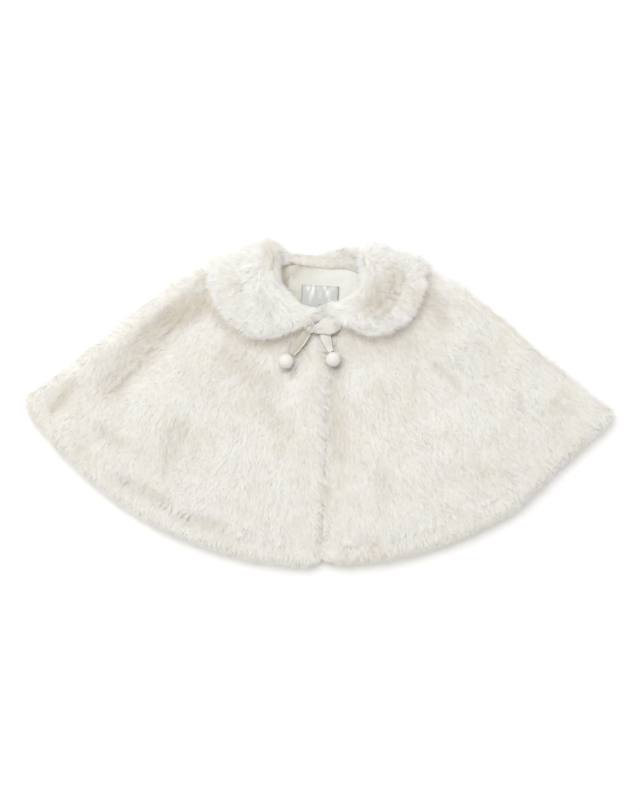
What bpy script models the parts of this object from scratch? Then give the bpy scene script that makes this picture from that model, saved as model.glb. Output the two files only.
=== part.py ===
"""A child's fur cape, fastened and laid flat with its fronts up.

Metres, +Z up. The cape lies on the plane z = 0, +X is to the right and +Y is towards the collar.
Every fur solid reaches as far as the tips of its pile.
"""

import math
from collections import namedtuple

import bmesh
import bpy
from mathutils import Vector

# Gaps between pieces
SEAM_GAP = 0.0003  # between pieces that lie on or beside each other
RAMP_GAP = 0.0007  # added where the fronts bridge the slope that the collar makes
COLLAR_GAP = 0.0009  # under the collar, which rides over uneven fur
FRONT_GAP = 0.0008  # between the two front edges

# The cut: fronts and back are sectors about one centre just above the neck
CUT_X = 0.0
CUT_Y = 0.207
BACK_INSET = 0.004  # how far the back's hem and side edges lie inside those of the fronts
SIDE_CORNER = 0.012  # radius of the corner where the hem meets the shoulder edge
FRONT_CORNER = 0.010  # radius of the corner where the hem meets the front edge
FRONT_LINE_NECK = math.radians(3.0)  # the front edges lean a little to the right at the neck
FRONT_LINE_HEM = math.radians(0.1)
FRONT_LINE_START = 0.120  # radius at the neck end of the front edges

# Wall thicknesses, pile included
FRONT_WALL = 0.0135
FRONT_RIM = 0.0035
EDGE_ROUND = 0.014  # width over which the pile rounds off at an edge
CLOSED_SHARE = 0.30  # what is left of the pile's height where the two fronts meet
BACK_WALL = 0.0080  # the pile under the cape is pressed by its weight
BACK_RIM_RISE = 0.0030
BACK_EDGE_ROUND = 0.009
PRESSED_SHARE = 0.60  # what is left of the front's wall under the collar
LINING_WALL = 0.0010
LABEL_WALL = 0.0008
RIBBON_WALL = 0.0010

# The collar's pile: on the wings, at the roll round the neck, and pressed under the back
WING_PILE = 0.0140
ROLL_REACH = 0.0098
UNDER_PILE = 0.0090
COLLAR_WRAP = 0.0108  # how far the collar stands out round the shoulder edge
NECK_WRAP_SHARE = 0.80  # less of it beside the neck
STAND_RISE = 0.0015  # height of the neck seam above the lining
STAND_FULL = 0.86  # share of the back neck, from its centre, along which the collar stands up
STAND_FADE = 0.34
STAND_BULGE = 0.45  # share of its pile by which it rounds over there
NECK_CLEAR = 0.0015  # between the neck edges and the collar
UNDER_LIFT = UNDER_PILE + COLLAR_GAP  # the collar's back lies under the cape and lifts it

# Ellipses about the neck, in plan: what the collar lifts, and what its wings press
Oval = namedtuple("Oval", "y half_width half_depth start end")
LIFTED = Oval(y=0.150, half_width=0.114, half_depth=0.082, start=1.0, end=2.3)
PRESSED = Oval(y=0.140, half_width=0.124, half_depth=0.082, start=1.0, end=1.22)
LINED = Oval(y=0.130, half_width=0.098, half_depth=0.070, start=1.0, end=1.3)

# The two sides as seen in the photograph
Side = namedtuple("Side", "name sign spread hem_front hem_side fall_share dip")
LEFT = Side("left", -1, spread=0.95, hem_front=0.383, hem_side=0.381, fall_share=1.00, dip=0.06)
RIGHT = Side("right", 1, spread=-0.95, hem_front=0.381, hem_side=0.388, fall_share=0.92, dip=0.46)

# Half the angle of the cut, out to the shoulder edge, at each radius
ShoulderRow = namedtuple("ShoulderRow", "radius angle")
SHOULDER = (
    ShoulderRow(0.070, 41.5),
    ShoulderRow(0.107, 52.0),
    ShoulderRow(0.126, 55.8),
    ShoulderRow(0.145, 60.2),
    ShoulderRow(0.174, 62.2),
    ShoulderRow(0.215, 61.2),
    ShoulderRow(0.265, 59.0),
    ShoulderRow(0.325, 57.5),
    ShoulderRow(0.388, 56.9),
)

# The necklines: radius at each share of the way from the centre to the shoulder
NeckRow = namedtuple("NeckRow", "share radius")
FRONT_NECK = (
    NeckRow(0.00, 0.1150),
    NeckRow(0.30, 0.1120),
    NeckRow(0.60, 0.1010),
    NeckRow(0.90, 0.0825),
    NeckRow(1.00, 0.0750),
)
BACK_NECK = (NeckRow(0.0, 0.0600), NeckRow(0.5, 0.0630), NeckRow(1.0, 0.0730))

# Largest folds of the fronts, each along a line from the cut's centre: ridges stand above 0, troughs below
FoldRow = namedtuple("FoldRow", "side angle start end height half_width")
FOLDS = (
    FoldRow(LEFT, 50.0, 0.140, 0.330, -0.0055, 0.026),
    FoldRow(LEFT, 57.5, 0.170, 0.350, 0.0030, 0.018),
    FoldRow(LEFT, 6.0, 0.150, 0.330, 0.0045, 0.024),
    FoldRow(LEFT, 28.0, 0.240, 0.370, -0.0030, 0.030),
    FoldRow(LEFT, 38.0, 0.190, 0.350, 0.0025, 0.030),
    FoldRow(LEFT, 17.0, 0.270, 0.370, -0.0022, 0.024),
    FoldRow(RIGHT, 3.5, 0.130, 0.300, -0.0050, 0.018),
    FoldRow(RIGHT, 13.0, 0.165, 0.300, 0.0032, 0.022),
    FoldRow(RIGHT, 52.0, 0.140, 0.240, -0.0045, 0.024),
    FoldRow(RIGHT, 24.0, 0.220, 0.350, -0.0025, 0.030),
    FoldRow(RIGHT, 40.0, 0.230, 0.370, 0.0025, 0.040),
    FoldRow(RIGHT, 7.5, 0.290, 0.370, -0.0025, 0.016),
)
FOLD_FADE = 0.045  # length over which a fold comes and goes
HEM_GROOVE = 0.0018  # depth of the groove above the rolled hem
HEM_GROOVE_PLACE = 0.029  # its distance from the hem
HEM_GROOVE_WIDTH = 0.013

# The collar, half at a time: where it leaves the neck, its heading, fall, pile and reach into the neck
CollarRow = namedtuple("CollarRow", "share heading fall pile reach")
COLLAR_FRONT = (
    CollarRow(0.03, 14.0, 0.001, 0.0070, 0.0100),
    CollarRow(0.13, 35.0, 0.0080, 0.0104, 0.0098),
    CollarRow(0.25, 37.0, 0.024, WING_PILE, ROLL_REACH),
    CollarRow(0.38, 41.0, 0.035, WING_PILE, ROLL_REACH),
    CollarRow(0.55, 53.0, 0.044, WING_PILE, ROLL_REACH),
    CollarRow(0.72, 68.0, 0.050, WING_PILE, ROLL_REACH),
    CollarRow(0.87, 73.0, 0.053, WING_PILE, ROLL_REACH),
    CollarRow(0.98, 67.5, 0.056, WING_PILE, ROLL_REACH),
)
COLLAR_BACK = (
    CollarRow(0.98, 67.5, 0.056, UNDER_PILE, 0.0150),
    CollarRow(0.80, 50.0, 0.056, UNDER_PILE, 0.0175),
    CollarRow(0.60, 31.0, 0.060, UNDER_PILE, 0.0160),
    CollarRow(0.30, 13.0, 0.065, UNDER_PILE, 0.0120),
    CollarRow(0.00, 0.0, 0.066, UNDER_PILE, 0.0100),
)
COLLAR_FRONT_STATIONS = 16
COLLAR_TURNS = 7
COLLAR_BACK_STATIONS = 8
FALL_STEPS = (0.0, 0.25, 0.5, 0.75, 1.0)
FUR_STEPS = (0.80, 0.60, 0.40, 0.20)
EDGE_LEANS = (80.0, 45.0, 12.0)
EDGE_SHARE = 0.86
ROLL_LEANS = (-15.0, -48.0, -80.0)
DIP_PLACE = 0.50  # the hollow along a wing, as a share of its fall
DIP_REACH = 0.36
DIP_FALL = 0.040  # fall at which the hollow is full

# The tie: covered balls on the ends of a satin ribbon, tied once
BALL_RADIUS = 0.0080
BALL_SINK = 0.0035  # how far a ball presses the pile
Ball = namedtuple("Ball", "name x y")
BALLS = (Ball("ball_left", -0.0355, 0.0450), Ball("ball_right", 0.0145, 0.0470))
BALL_DENT = 0.032  # reach of the hollow that a ball presses in the pile
BALL_CLEAR = 0.0004
RibbonRow = namedtuple("RibbonRow", "share x y rise width lean")
STRAP = (
    RibbonRow(0.00, -0.0040, 0.0785, 0.0036, 0.0060, 20.0),
    RibbonRow(0.30, 0.0030, 0.0795, 0.0056, 0.0115, 14.0),
    RibbonRow(0.62, 0.0100, 0.0805, 0.0058, 0.0130, 6.0),
    RibbonRow(1.00, 0.0205, 0.0796, 0.0040, 0.0072, -4.0),
)
TAIL_LEFT = (
    RibbonRow(0.00, -0.0132, 0.0748, 0.0018, 0.0090, 0.0),
    RibbonRow(0.35, -0.0190, 0.0670, 0.0038, 0.0105, 8.0),
    RibbonRow(0.75, -0.0260, 0.0590, 0.0046, 0.0080, 5.0),
    RibbonRow(1.00, -0.0312, 0.0522, 0.0070, 0.0045, 0.0),
)
TAIL_RIGHT = (
    RibbonRow(0.00, 0.0055, 0.0735, 0.0024, 0.0090, 0.0),
    RibbonRow(0.35, 0.0076, 0.0672, 0.0036, 0.0095, -6.0),
    RibbonRow(0.75, 0.0108, 0.0596, 0.0046, 0.0070, -3.0),
    RibbonRow(1.00, 0.0128, 0.0552, 0.0070, 0.0045, 0.0),
)
RIBBON_CROWN = 0.0008  # the ribbon's middle stands above its edges
RIBBON_LOOK = 0.02  # step along a ribbon for finding its direction
KNOT_X = -0.0092
KNOT_Y = 0.0785
KNOT_SIZE = (0.0105, 0.0085, 0.0060)
KNOT_CLEAR = 0.0006

# The lining's back neck, which shows through the neck opening, and the label on it
LINING_LENGTH = 0.064
LINING_SPREAD = 0.70  # share of the back's width that it spans at its lower edge
LINING_SPREAD_NECK = 0.94  # and at the neck
LABEL_X = 0.0003
LABEL_Y = 0.1130
LABEL_WIDTH = 0.0400
LABEL_HEIGHT = 0.0260
LABEL_TURN = math.radians(-3.0)

# How finely the walls are cut
FRONT_COLUMNS, FRONT_ROWS = 26, 24
BACK_COLUMNS, BACK_ROWS = 34, 20
LINING_COLUMNS, LINING_ROWS = 12, 8
LABEL_COLUMNS, LABEL_ROWS = 6, 4
RIBBON_COLUMNS, RIBBON_ROWS = 3, 7

SMOOTH_ANGLE = math.radians(50.0)

UP = Vector((0.0, 0.0, 1.0))

# Principled colours: (colour, roughness)
FINISHES = {
    "fur": ((0.87, 0.85, 0.81, 1.0), 0.95),
    "satin": ((0.88, 0.85, 0.76, 1.0), 0.42),
    "ribbon": ((0.90, 0.88, 0.83, 1.0), 0.50),
    "felt": ((0.90, 0.88, 0.82, 1.0), 0.90),
    "label": ((0.66, 0.67, 0.69, 1.0), 0.45),
}


def eased(share):
    """0 to 1, starting and ending level."""
    share = min(max(share, 0.0), 1.0)
    return share * share * (3.0 - 2.0 * share)


def mixed(first, second, share):
    return first + (second - first) * share


def crowded(share):
    """0 to 1, with the steps closer together towards both ends."""
    return 0.5 - 0.5 * math.cos(math.pi * share)


def bell(offset):
    """1 in the middle, falling to 0 at an offset of 1 either way."""
    return max(0.0, 1.0 - offset * offset) ** 2


def rounded(distance, width):
    """A quarter round: 0 at an edge, 1 from width inwards."""
    left = 1.0 - min(max(distance / width, 0.0), 1.0)
    return math.sqrt(1.0 - left * left)


def along(rows, place):
    """The row at a place, on a smooth curve through a table whose first column is the place."""
    order = sorted(rows, key=lambda row: row[0])
    place = min(max(place, order[0][0]), order[-1][0])
    last = len(order) - 2
    at = next((k for k in range(last + 1) if place <= order[k + 1][0]), last)

    def slope(k, column):
        low, high = order[max(k - 1, 0)], order[min(k + 1, len(order) - 1)]
        return (high[column] - low[column]) / (high[0] - low[0])

    start, stop = order[at], order[at + 1]
    span = stop[0] - start[0]
    t = (place - start[0]) / span
    values = [place]
    for column in range(1, len(start)):
        rise = start[column] * (1 + 2 * t) * (1 - t) ** 2 + stop[column] * t * t * (3 - 2 * t)
        bend = slope(at, column) * t * (1 - t) ** 2 - slope(at + 1, column) * t * t * (1 - t)
        values.append(rise + bend * span)
    return type(start)(*values)


# The plan of the cut

def polar(x, y):
    """Radius from the cut's centre, and angle from straight down, positive to the right."""
    return math.hypot(x - CUT_X, CUT_Y - y), math.atan2(x - CUT_X, CUT_Y - y)


def plan(radius, angle):
    return CUT_X + radius * math.sin(angle), CUT_Y - radius * math.cos(angle)


def front_line(radius):
    """Angle of the line between the fronts."""
    share = (radius - FRONT_LINE_START) / (LEFT.hem_front - FRONT_LINE_START)
    return mixed(FRONT_LINE_NECK, FRONT_LINE_HEM, min(max(share, 0.0), 1.0))


def shoulder_angle(side, radius):
    return side.sign * math.radians(along(SHOULDER, radius).angle + side.spread)


def front_edges(side, radius):
    """Angles of a front's centre edge and shoulder edge."""
    return front_line(radius) + side.sign * FRONT_GAP / 2 / radius, shoulder_angle(side, radius)


def corner_drop(distance, corner):
    """How far a round corner lies inside the hem."""
    return corner * (1.0 - rounded(distance, corner))


def front_hem(side, share):
    """Radius of a front's hem at a share of the way from the centre to the shoulder."""
    hem = mixed(side.hem_front, side.hem_side, share)
    centre, shoulder = front_edges(side, hem)
    width = abs(shoulder - centre) * hem
    return hem - corner_drop(share * width, FRONT_CORNER) - corner_drop((1.0 - share) * width, SIDE_CORNER)


def front_place(side, across, down):
    """A point of a front: across from the centre to the shoulder, down from the neck to the hem."""
    neck = along(FRONT_NECK, across).radius
    radius = mixed(neck, front_hem(side, across), down)
    centre, shoulder = front_edges(side, radius)
    return plan(radius, mixed(centre, shoulder, across))


def back_edges(radius):
    inset = BACK_INSET / radius
    return shoulder_angle(LEFT, radius) + inset, shoulder_angle(RIGHT, radius) - inset


def back_hem(across):
    side = LEFT if across < 0.5 else RIGHT
    hem = mixed(side.hem_front, side.hem_side, abs(2.0 * across - 1.0)) - BACK_INSET
    left, right = back_edges(hem)
    width = (right - left) * hem
    return hem - corner_drop(across * width, SIDE_CORNER) - corner_drop((1.0 - across) * width, SIDE_CORNER)


def back_place(across, down):
    """A point of the back: across from the left shoulder to the right, down from the neck to the hem."""
    neck = along(BACK_NECK, abs(2.0 * across - 1.0)).radius
    radius = mixed(neck, back_hem(across), down)
    left, right = back_edges(radius)
    return plan(radius, mixed(left, right, across))


# Heights

def inside(oval, x, y):
    """1 within an ellipse about the neck, fading to 0 outside it."""
    reach = math.hypot(x / oval.half_width, (y - oval.y) / oval.half_depth)
    return 1.0 - eased((reach - oval.start) / (oval.end - oval.start))


def back_bottom(x, y):
    radius, angle = polar(x, y)
    left, right = back_edges(radius)
    across = (angle - left) / (right - left)
    hem = rounded(back_hem(min(max(across, 0.0), 1.0)) - radius, BACK_EDGE_ROUND)
    sides = rounded(min(angle - left, right - angle) * radius, BACK_EDGE_ROUND)
    return UNDER_LIFT * inside(LIFTED, x, y) + BACK_RIM_RISE * (1.0 - hem * sides)


def back_top(x, y):
    return UNDER_LIFT * inside(LIFTED, x, y) + BACK_WALL


def lining_bottom(x, y):
    return back_top(x, y) + SEAM_GAP


def lining_top(x, y):
    return lining_bottom(x, y) + LINING_WALL


def front_bottom(x, y):
    lifted = inside(LIFTED, x, y)
    bridged = RAMP_GAP * 4.0 * lifted * (1.0 - lifted)
    return back_top(x, y) + SEAM_GAP + bridged + (LINING_WALL + SEAM_GAP) * inside(LINED, x, y)


def folds(side, radius, angle):
    """Height that the largest folds add."""
    total = 0.0
    for fold in FOLDS:
        if fold.side is not side:
            continue
        offset = radius * (abs(angle) - math.radians(fold.angle)) / fold.half_width
        comes = eased((radius - fold.start) / FOLD_FADE)
        goes = eased((fold.end - radius) / FOLD_FADE)
        total += fold.height * bell(offset) * comes * goes
    return total


def hem_groove(distance):
    """How far the pile dips above the rolled hem, at a distance from the hem."""
    return HEM_GROOVE * bell((distance - HEM_GROOVE_PLACE) / HEM_GROOVE_WIDTH)


def dents(x, y):
    """How far the balls press the pile."""
    return sum(BALL_SINK * bell(math.hypot(x - ball.x, y - ball.y) / BALL_DENT) for ball in BALLS)


def front_top(side, x, y, open_edge=True):
    """Height of a front's pile. With open_edge off, as if the fronts were joined at the centre."""
    radius, angle = polar(x, y)
    centre, shoulder = front_edges(side, radius)
    across = min(max((angle - centre) / (shoulder - centre), 0.0), 1.0)
    above_hem = front_hem(side, across) - radius
    full = rounded(above_hem, EDGE_ROUND)
    full *= rounded((1.0 - across) * abs(shoulder - centre) * radius, EDGE_ROUND)
    if open_edge:
        full *= mixed(CLOSED_SHARE, 1.0, rounded(across * abs(shoulder - centre) * radius, EDGE_ROUND))
    pile = (FRONT_WALL - FRONT_RIM) * mixed(1.0, PRESSED_SHARE, inside(PRESSED, x, y))
    wall = FRONT_RIM + (pile + folds(side, radius, angle) - dents(x, y) - hem_groove(above_hem)) * full
    return front_bottom(x, y) + wall


def fur_level(x, y):
    """Height of the fur under the tie."""
    side = LEFT if polar(x, y)[1] < front_line(polar(x, y)[0]) else RIGHT
    return front_top(side, x, y, open_edge=False)


# Making solids

def finish(name):
    """A Principled material, made once."""
    if name in bpy.data.materials:
        return bpy.data.materials[name]
    made = bpy.data.materials.new(name)
    made.use_nodes = True
    shader = made.node_tree.nodes["Principled BSDF"]
    colour, roughness = FINISHES[name]
    shader.inputs["Base Color"].default_value = colour
    shader.inputs["Roughness"].default_value = roughness
    shader.inputs["Metallic"].default_value = 0.0
    return made


def add_object(name, mesh, collection, material):
    """Links a finished bmesh as an object."""
    bmesh.ops.recalc_face_normals(mesh, faces=list(mesh.faces))
    data = bpy.data.meshes.new(name)
    mesh.to_mesh(data)
    mesh.free()
    data.shade_smooth()
    data.set_sharp_from_angle(angle=SMOOTH_ANGLE)
    data.materials.append(finish(material))
    made = bpy.data.objects.new(name, data)
    collection.objects.link(made)
    return made


def add_panel(name, collection, material, columns, rows, place, bottom, top):
    """A wall of cloth: a grid laid out by place(across, down), raised from its bottom to its top."""
    mesh = bmesh.new()
    bmesh.ops.create_grid(mesh, x_segments=columns, y_segments=rows, size=0.5)
    low = min(vert.co.x for vert in mesh.verts)
    span = max(vert.co.x for vert in mesh.verts) - low
    for vert in mesh.verts:
        x, y = place(crowded((vert.co.x - low) / span), crowded((vert.co.y - low) / span))
        vert.co = (x, y, bottom(x, y))
    raised = bmesh.ops.extrude_face_region(mesh, geom=list(mesh.faces))["geom"]
    for vert in raised:
        if isinstance(vert, bmesh.types.BMVert):
            vert.co.z = top(vert.co.x, vert.co.y)
    return add_object(name, mesh, collection, material)


def add_loft(name, collection, material, rings):
    """A solid through closed rings of equal counts, with flat ends."""
    mesh = bmesh.new()
    loops = [[mesh.verts.new(point) for point in ring] for ring in rings]
    count = len(loops[0])
    for one, two in zip(loops, loops[1:]):
        for k in range(count):
            after = (k + 1) % count
            mesh.faces.new((one[k], one[after], two[after], two[k]))
    mesh.faces.new(loops[0][::-1])
    mesh.faces.new(loops[-1])
    return add_object(name, mesh, collection, material)


# The pieces

def add_back(collection):
    add_panel("back", collection, "fur", BACK_COLUMNS, BACK_ROWS, back_place, back_bottom, back_top)


def add_front(collection, side):
    add_panel(
        "front_" + side.name,
        collection,
        "fur",
        FRONT_COLUMNS,
        FRONT_ROWS,
        lambda across, down: front_place(side, across, down),
        front_bottom,
        lambda x, y: front_top(side, x, y),
    )


def lining_place(across, down):
    """A point of the lining: across from left to right, down from the back neck."""
    share = (2.0 * across - 1.0) * mixed(LINING_SPREAD_NECK, LINING_SPREAD, down)
    neck = along(BACK_NECK, abs(share)).radius + SEAM_GAP
    radius = neck + LINING_LENGTH * down
    left, right = back_edges(radius)
    return plan(radius, mixed(left, right, 0.5 + share / 2.0))


def add_lining(collection):
    columns, rows = LINING_COLUMNS, LINING_ROWS
    add_panel("lining", collection, "satin", columns, rows, lining_place, lining_bottom, lining_top)


def label_place(across, down):
    x = (across - 0.5) * LABEL_WIDTH
    y = (0.5 - down) * LABEL_HEIGHT
    turned_x = x * math.cos(LABEL_TURN) - y * math.sin(LABEL_TURN)
    turned_y = x * math.sin(LABEL_TURN) + y * math.cos(LABEL_TURN)
    return LABEL_X + turned_x, LABEL_Y + turned_y


def add_label(collection):
    add_panel(
        "label",
        collection,
        "label",
        LABEL_COLUMNS,
        LABEL_ROWS,
        label_place,
        lambda x, y: lining_top(x, y) + SEAM_GAP,
        lambda x, y: lining_top(x, y) + SEAM_GAP + LABEL_WALL,
    )


def collar_seam(side, row, behind):
    """Where the collar leaves the neck edge, in plan."""
    if behind:
        radius = along(BACK_NECK, row.share).radius - NECK_CLEAR
        return plan(radius, shoulder_angle(side, radius) * row.share)
    radius = along(FRONT_NECK, row.share).radius - NECK_CLEAR
    centre, shoulder = front_edges(side, radius)
    return plan(radius, mixed(centre, shoulder, row.share))


def collar_section(side, row, turn):
    """The ring round the collar's wall at one place, turned from on the front to under the back."""
    heading = side.sign * math.radians(row.heading)
    out = Vector((math.sin(heading), -math.cos(heading), 0.0))
    beside = Vector((-out.y, out.x, 0.0)) * side.sign
    normal = UP * math.cos(turn) + beside * math.sin(turn)
    behind = (1.0 - math.cos(turn)) / 2.0
    seam = Vector(collar_seam(side, row, False)).lerp(Vector(collar_seam(side, row, True)), behind).to_3d()
    fall = row.fall * mixed(side.fall_share, 1.0, behind)
    dip = side.dip * (1.0 - behind) * eased(row.fall / DIP_FALL)

    def base(step):
        point = seam + out * fall * step
        upper = front_top(side, point.x, point.y) + COLLAR_GAP
        lower = UNDER_LIFT * inside(LIFTED, point.x, point.y) - COLLAR_GAP
        wrap = COLLAR_WRAP * mixed(NECK_WRAP_SHARE, 1.0, eased(2.0 * step)) * math.sin(turn)
        return point + UP * mixed(upper, lower, behind) + beside * wrap

    def tip(step, lean, thick, reach):
        lean = math.radians(lean)
        return base(step) + normal * math.cos(lean) * thick + out * math.sin(lean) * reach

    stands = behind * eased((STAND_FULL - row.share) / STAND_FADE)
    start = seam + UP * (lining_top(seam.x, seam.y) + 2 * STAND_RISE * stands) + normal * STAND_RISE
    fur_start = start - out * row.reach
    bulge = (start + fur_start) / 2.0 + UP * row.pile * STAND_BULGE * stands
    edge = row.pile * EDGE_SHARE
    ring = [start]
    ring += [base(step) for step in FALL_STEPS]
    ring += [tip(1.0, lean, edge, edge) for lean in EDGE_LEANS]
    for step in FUR_STEPS:
        ring.append(tip(step, 0.0, row.pile * (1.0 - dip * bell((step - DIP_PLACE) / DIP_REACH)), 0.0))
    ring += [tip(0.0, lean, row.pile, row.reach) for lean in ROLL_LEANS]
    ring += [fur_start, bulge]
    return ring


def shoulder_row(turn):
    """The collar's row part of the way round the shoulder edge, its pile pressed once underneath."""
    late = eased(-math.cos(turn))
    return CollarRow(*(mixed(front, back, late) for front, back in zip(COLLAR_FRONT[-1], COLLAR_BACK[0])))


def add_collar(collection, side):
    """Half a collar, from its front end round the shoulder to the centre of the back."""
    rings = []
    first, last = COLLAR_FRONT[0].share, COLLAR_FRONT[-1].share
    for k in range(COLLAR_FRONT_STATIONS):
        share = mixed(first, last, k / (COLLAR_FRONT_STATIONS - 1))
        rings.append(collar_section(side, along(COLLAR_FRONT, share), 0.0))
    for k in range(1, COLLAR_TURNS):
        turn = math.pi * k / COLLAR_TURNS
        rings.append(collar_section(side, shoulder_row(turn), turn))
    first, last = COLLAR_BACK[0].share, COLLAR_BACK[-1].share
    for k in range(1, COLLAR_BACK_STATIONS + 1):
        share = mixed(first, last, k / COLLAR_BACK_STATIONS)
        rings.append(collar_section(side, along(COLLAR_BACK, share), math.pi))
    for point in rings[-1]:
        point.x = side.sign * SEAM_GAP / 2
    add_loft("collar_" + side.name, collection, "fur", rings)


def ribbon_point(rows, along_share, across_share):
    """A point on a ribbon's under face: rows down its length, across from -1 to 1."""
    row = along(rows, along_share)
    ahead = along(rows, min(along_share + RIBBON_LOOK, 1.0))
    before = along(rows, max(along_share - RIBBON_LOOK, 0.0))
    way = Vector((ahead.x - before.x, ahead.y - before.y, 0.0)).normalized()
    side = Vector((-way.y, way.x, 0.0))
    lean = math.radians(row.lean)
    offset = (side * math.cos(lean) + UP * math.sin(lean)) * row.width / 2.0 * across_share
    middle = Vector((row.x, row.y, fur_level(row.x, row.y) + row.rise))
    return middle + offset + UP * RIBBON_CROWN * (1.0 - across_share * across_share)


def add_ribbon(name, collection, rows):
    mesh = bmesh.new()
    bmesh.ops.create_grid(mesh, x_segments=RIBBON_COLUMNS, y_segments=RIBBON_ROWS, size=0.5)
    low = min(vert.co.x for vert in mesh.verts)
    span = max(vert.co.x for vert in mesh.verts) - low
    for vert in mesh.verts:
        across = 2.0 * (vert.co.x - low) / span - 1.0
        vert.co = ribbon_point(rows, (vert.co.y - low) / span, across)
    made = add_object(name, mesh, collection, "ribbon")
    wall = made.modifiers.new("wall", "SOLIDIFY")
    wall.thickness = RIBBON_WALL
    wall.offset = 0.0


def add_knot(collection):
    """The tie's knot, a soft lump of ribbon between the strap and the left tail."""
    mesh = bmesh.new()
    bmesh.ops.create_uvsphere(mesh, u_segments=14, v_segments=8, radius=0.5)
    height = fur_level(KNOT_X, KNOT_Y) + KNOT_SIZE[2] / 2.0 + KNOT_CLEAR
    for vert in mesh.verts:
        vert.co.x = KNOT_X + vert.co.x * KNOT_SIZE[0]
        vert.co.y = KNOT_Y + vert.co.y * KNOT_SIZE[1]
        vert.co.z = height + vert.co.z * KNOT_SIZE[2]
    add_object("tie_knot", mesh, collection, "ribbon")


def add_ball(collection, ball):
    mesh = bmesh.new()
    bmesh.ops.create_uvsphere(mesh, u_segments=16, v_segments=10, radius=BALL_RADIUS)
    made = add_object(ball.name, mesh, collection, "felt")
    made.location = (ball.x, ball.y, fur_level(ball.x, ball.y) + BALL_RADIUS + BALL_CLEAR)


def main():
    for old in list(bpy.data.objects):
        bpy.data.objects.remove(old)
    collection = bpy.data.collections.new("fur cape")
    bpy.context.scene.collection.children.link(collection)
    add_back(collection)
    add_lining(collection)
    add_label(collection)
    for side in (LEFT, RIGHT):
        add_front(collection, side)
        add_collar(collection, side)
    add_ribbon("tie_strap", collection, STRAP)
    add_ribbon("tie_tail_left", collection, TAIL_LEFT)
    add_ribbon("tie_tail_right", collection, TAIL_RIGHT)
    add_knot(collection)
    for ball in BALLS:
        add_ball(collection, ball)


main()
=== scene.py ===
"""A child's fur cape, laid flat with its fronts up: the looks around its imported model.

The fronts, back and collar are cloth with a pile of strands growing on it. The lining, its label and the
tie are satin, and the balls on the tie are felt. Metres, +Z up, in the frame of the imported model.
"""

import math

import bmesh
import bpy
import numpy as np
from bpy.props import FloatProperty, FloatVectorProperty, IntProperty, PointerProperty
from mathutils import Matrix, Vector, noise
from mathutils.bvhtree import BVHTree


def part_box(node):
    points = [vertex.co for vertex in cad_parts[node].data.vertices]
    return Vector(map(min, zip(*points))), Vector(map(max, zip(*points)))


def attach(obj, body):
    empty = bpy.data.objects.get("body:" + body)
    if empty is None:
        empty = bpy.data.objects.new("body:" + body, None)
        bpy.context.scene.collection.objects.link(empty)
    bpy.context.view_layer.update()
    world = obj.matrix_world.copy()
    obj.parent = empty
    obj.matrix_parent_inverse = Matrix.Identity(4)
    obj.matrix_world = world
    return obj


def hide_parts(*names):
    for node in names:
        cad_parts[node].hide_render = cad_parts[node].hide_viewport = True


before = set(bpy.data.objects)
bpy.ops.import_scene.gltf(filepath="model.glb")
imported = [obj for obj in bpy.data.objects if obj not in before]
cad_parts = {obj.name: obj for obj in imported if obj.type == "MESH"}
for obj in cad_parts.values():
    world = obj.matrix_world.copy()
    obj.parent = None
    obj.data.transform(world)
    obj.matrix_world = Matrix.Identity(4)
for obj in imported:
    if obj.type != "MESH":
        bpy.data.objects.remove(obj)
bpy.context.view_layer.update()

bl_info = {
    "name": "Fur cape",
    "version": (1, 0, 0),
    "blender": (4, 5, 0),
    "location": "View3D > Sidebar > Cape",
    "description": "Dresses the packed cape with fur, satin and felt",
    "category": "Object",
}

NECK = Vector((0.0, 0.130, 0.0))
UP = Vector((0.0, 0.0, 1.0))
STRAND_FACES = 2  # triangles of one strand
PIECE_FACES = 190000  # most triangles of fur on one piece
FEWEST_FACES = 100  # fewer mean that no pile grew
CLOTH_GRID = 0.003  # how fine the cloth under the fur is
FAR = 0.020  # as far as a ray looks for a neighbour
TOUCH = 0.0003  # how far off the surface a ray starts
CENTRE_LINE = 0.0045  # where the fronts meet
ROLL = (0.052, 0.034)  # half the width and depth of the collar's roll round the neck
ROLL_TURN = math.radians(140.0)  # how far the nap turns from outwards to over the roll
STRAP_TUCK = 0.016  # beyond this the collar's fur falls over the tie's strap
LIFT = 0.9  # how far the fur's shading turns upwards, as its strands pass light on
COVERED = 0.0045  # no pile grows where a neighbour is closer than this

# Colours
FUR_PATCH = (0.805, 0.752, 0.658)  # warm patches and tufts
FUR_PALE = (0.935, 0.93, 0.915)  # the palest strands
FUR_PAINTED_SHADE = (0.645, 0.58, 0.48)  # painted shade on strands in creases and under the collar's edge
FUR_MATTED = (0.80, 0.72, 0.58)  # between the strands
SATIN_SHADE = (0.50, 0.455, 0.37)  # painted shade on satin, in its folds and beside what shades it
LABEL_PAINTED_HIGHLIGHT = (0.90, 0.90, 0.89)  # painted highlight on the label's puckers
THREAD = (0.22, 0.23, 0.25)  # the label's stitches
FLOOR_PATCH = (0.94, 0.94, 0.94)
SKY = (1.0, 0.978, 0.943)
KEY = (0.958, 0.987, 1.0)
MOST_WHITE = 0.95  # no cloth is paler
SEEN_THROUGH = 0.30  # share of the light that passes through a strand

# The stage
FLOOR_HALF = 6.0
KEY_PLACE = (-0.75, 1.45, 2.45)
KEY_SIZE = 2.0
SENSOR = 36.0
PICTURE_HEIGHT = 0.015  # above the floor, where the picture's width is measured
PICTURE_MIDDLE = (0.0005, -0.0027)

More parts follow.
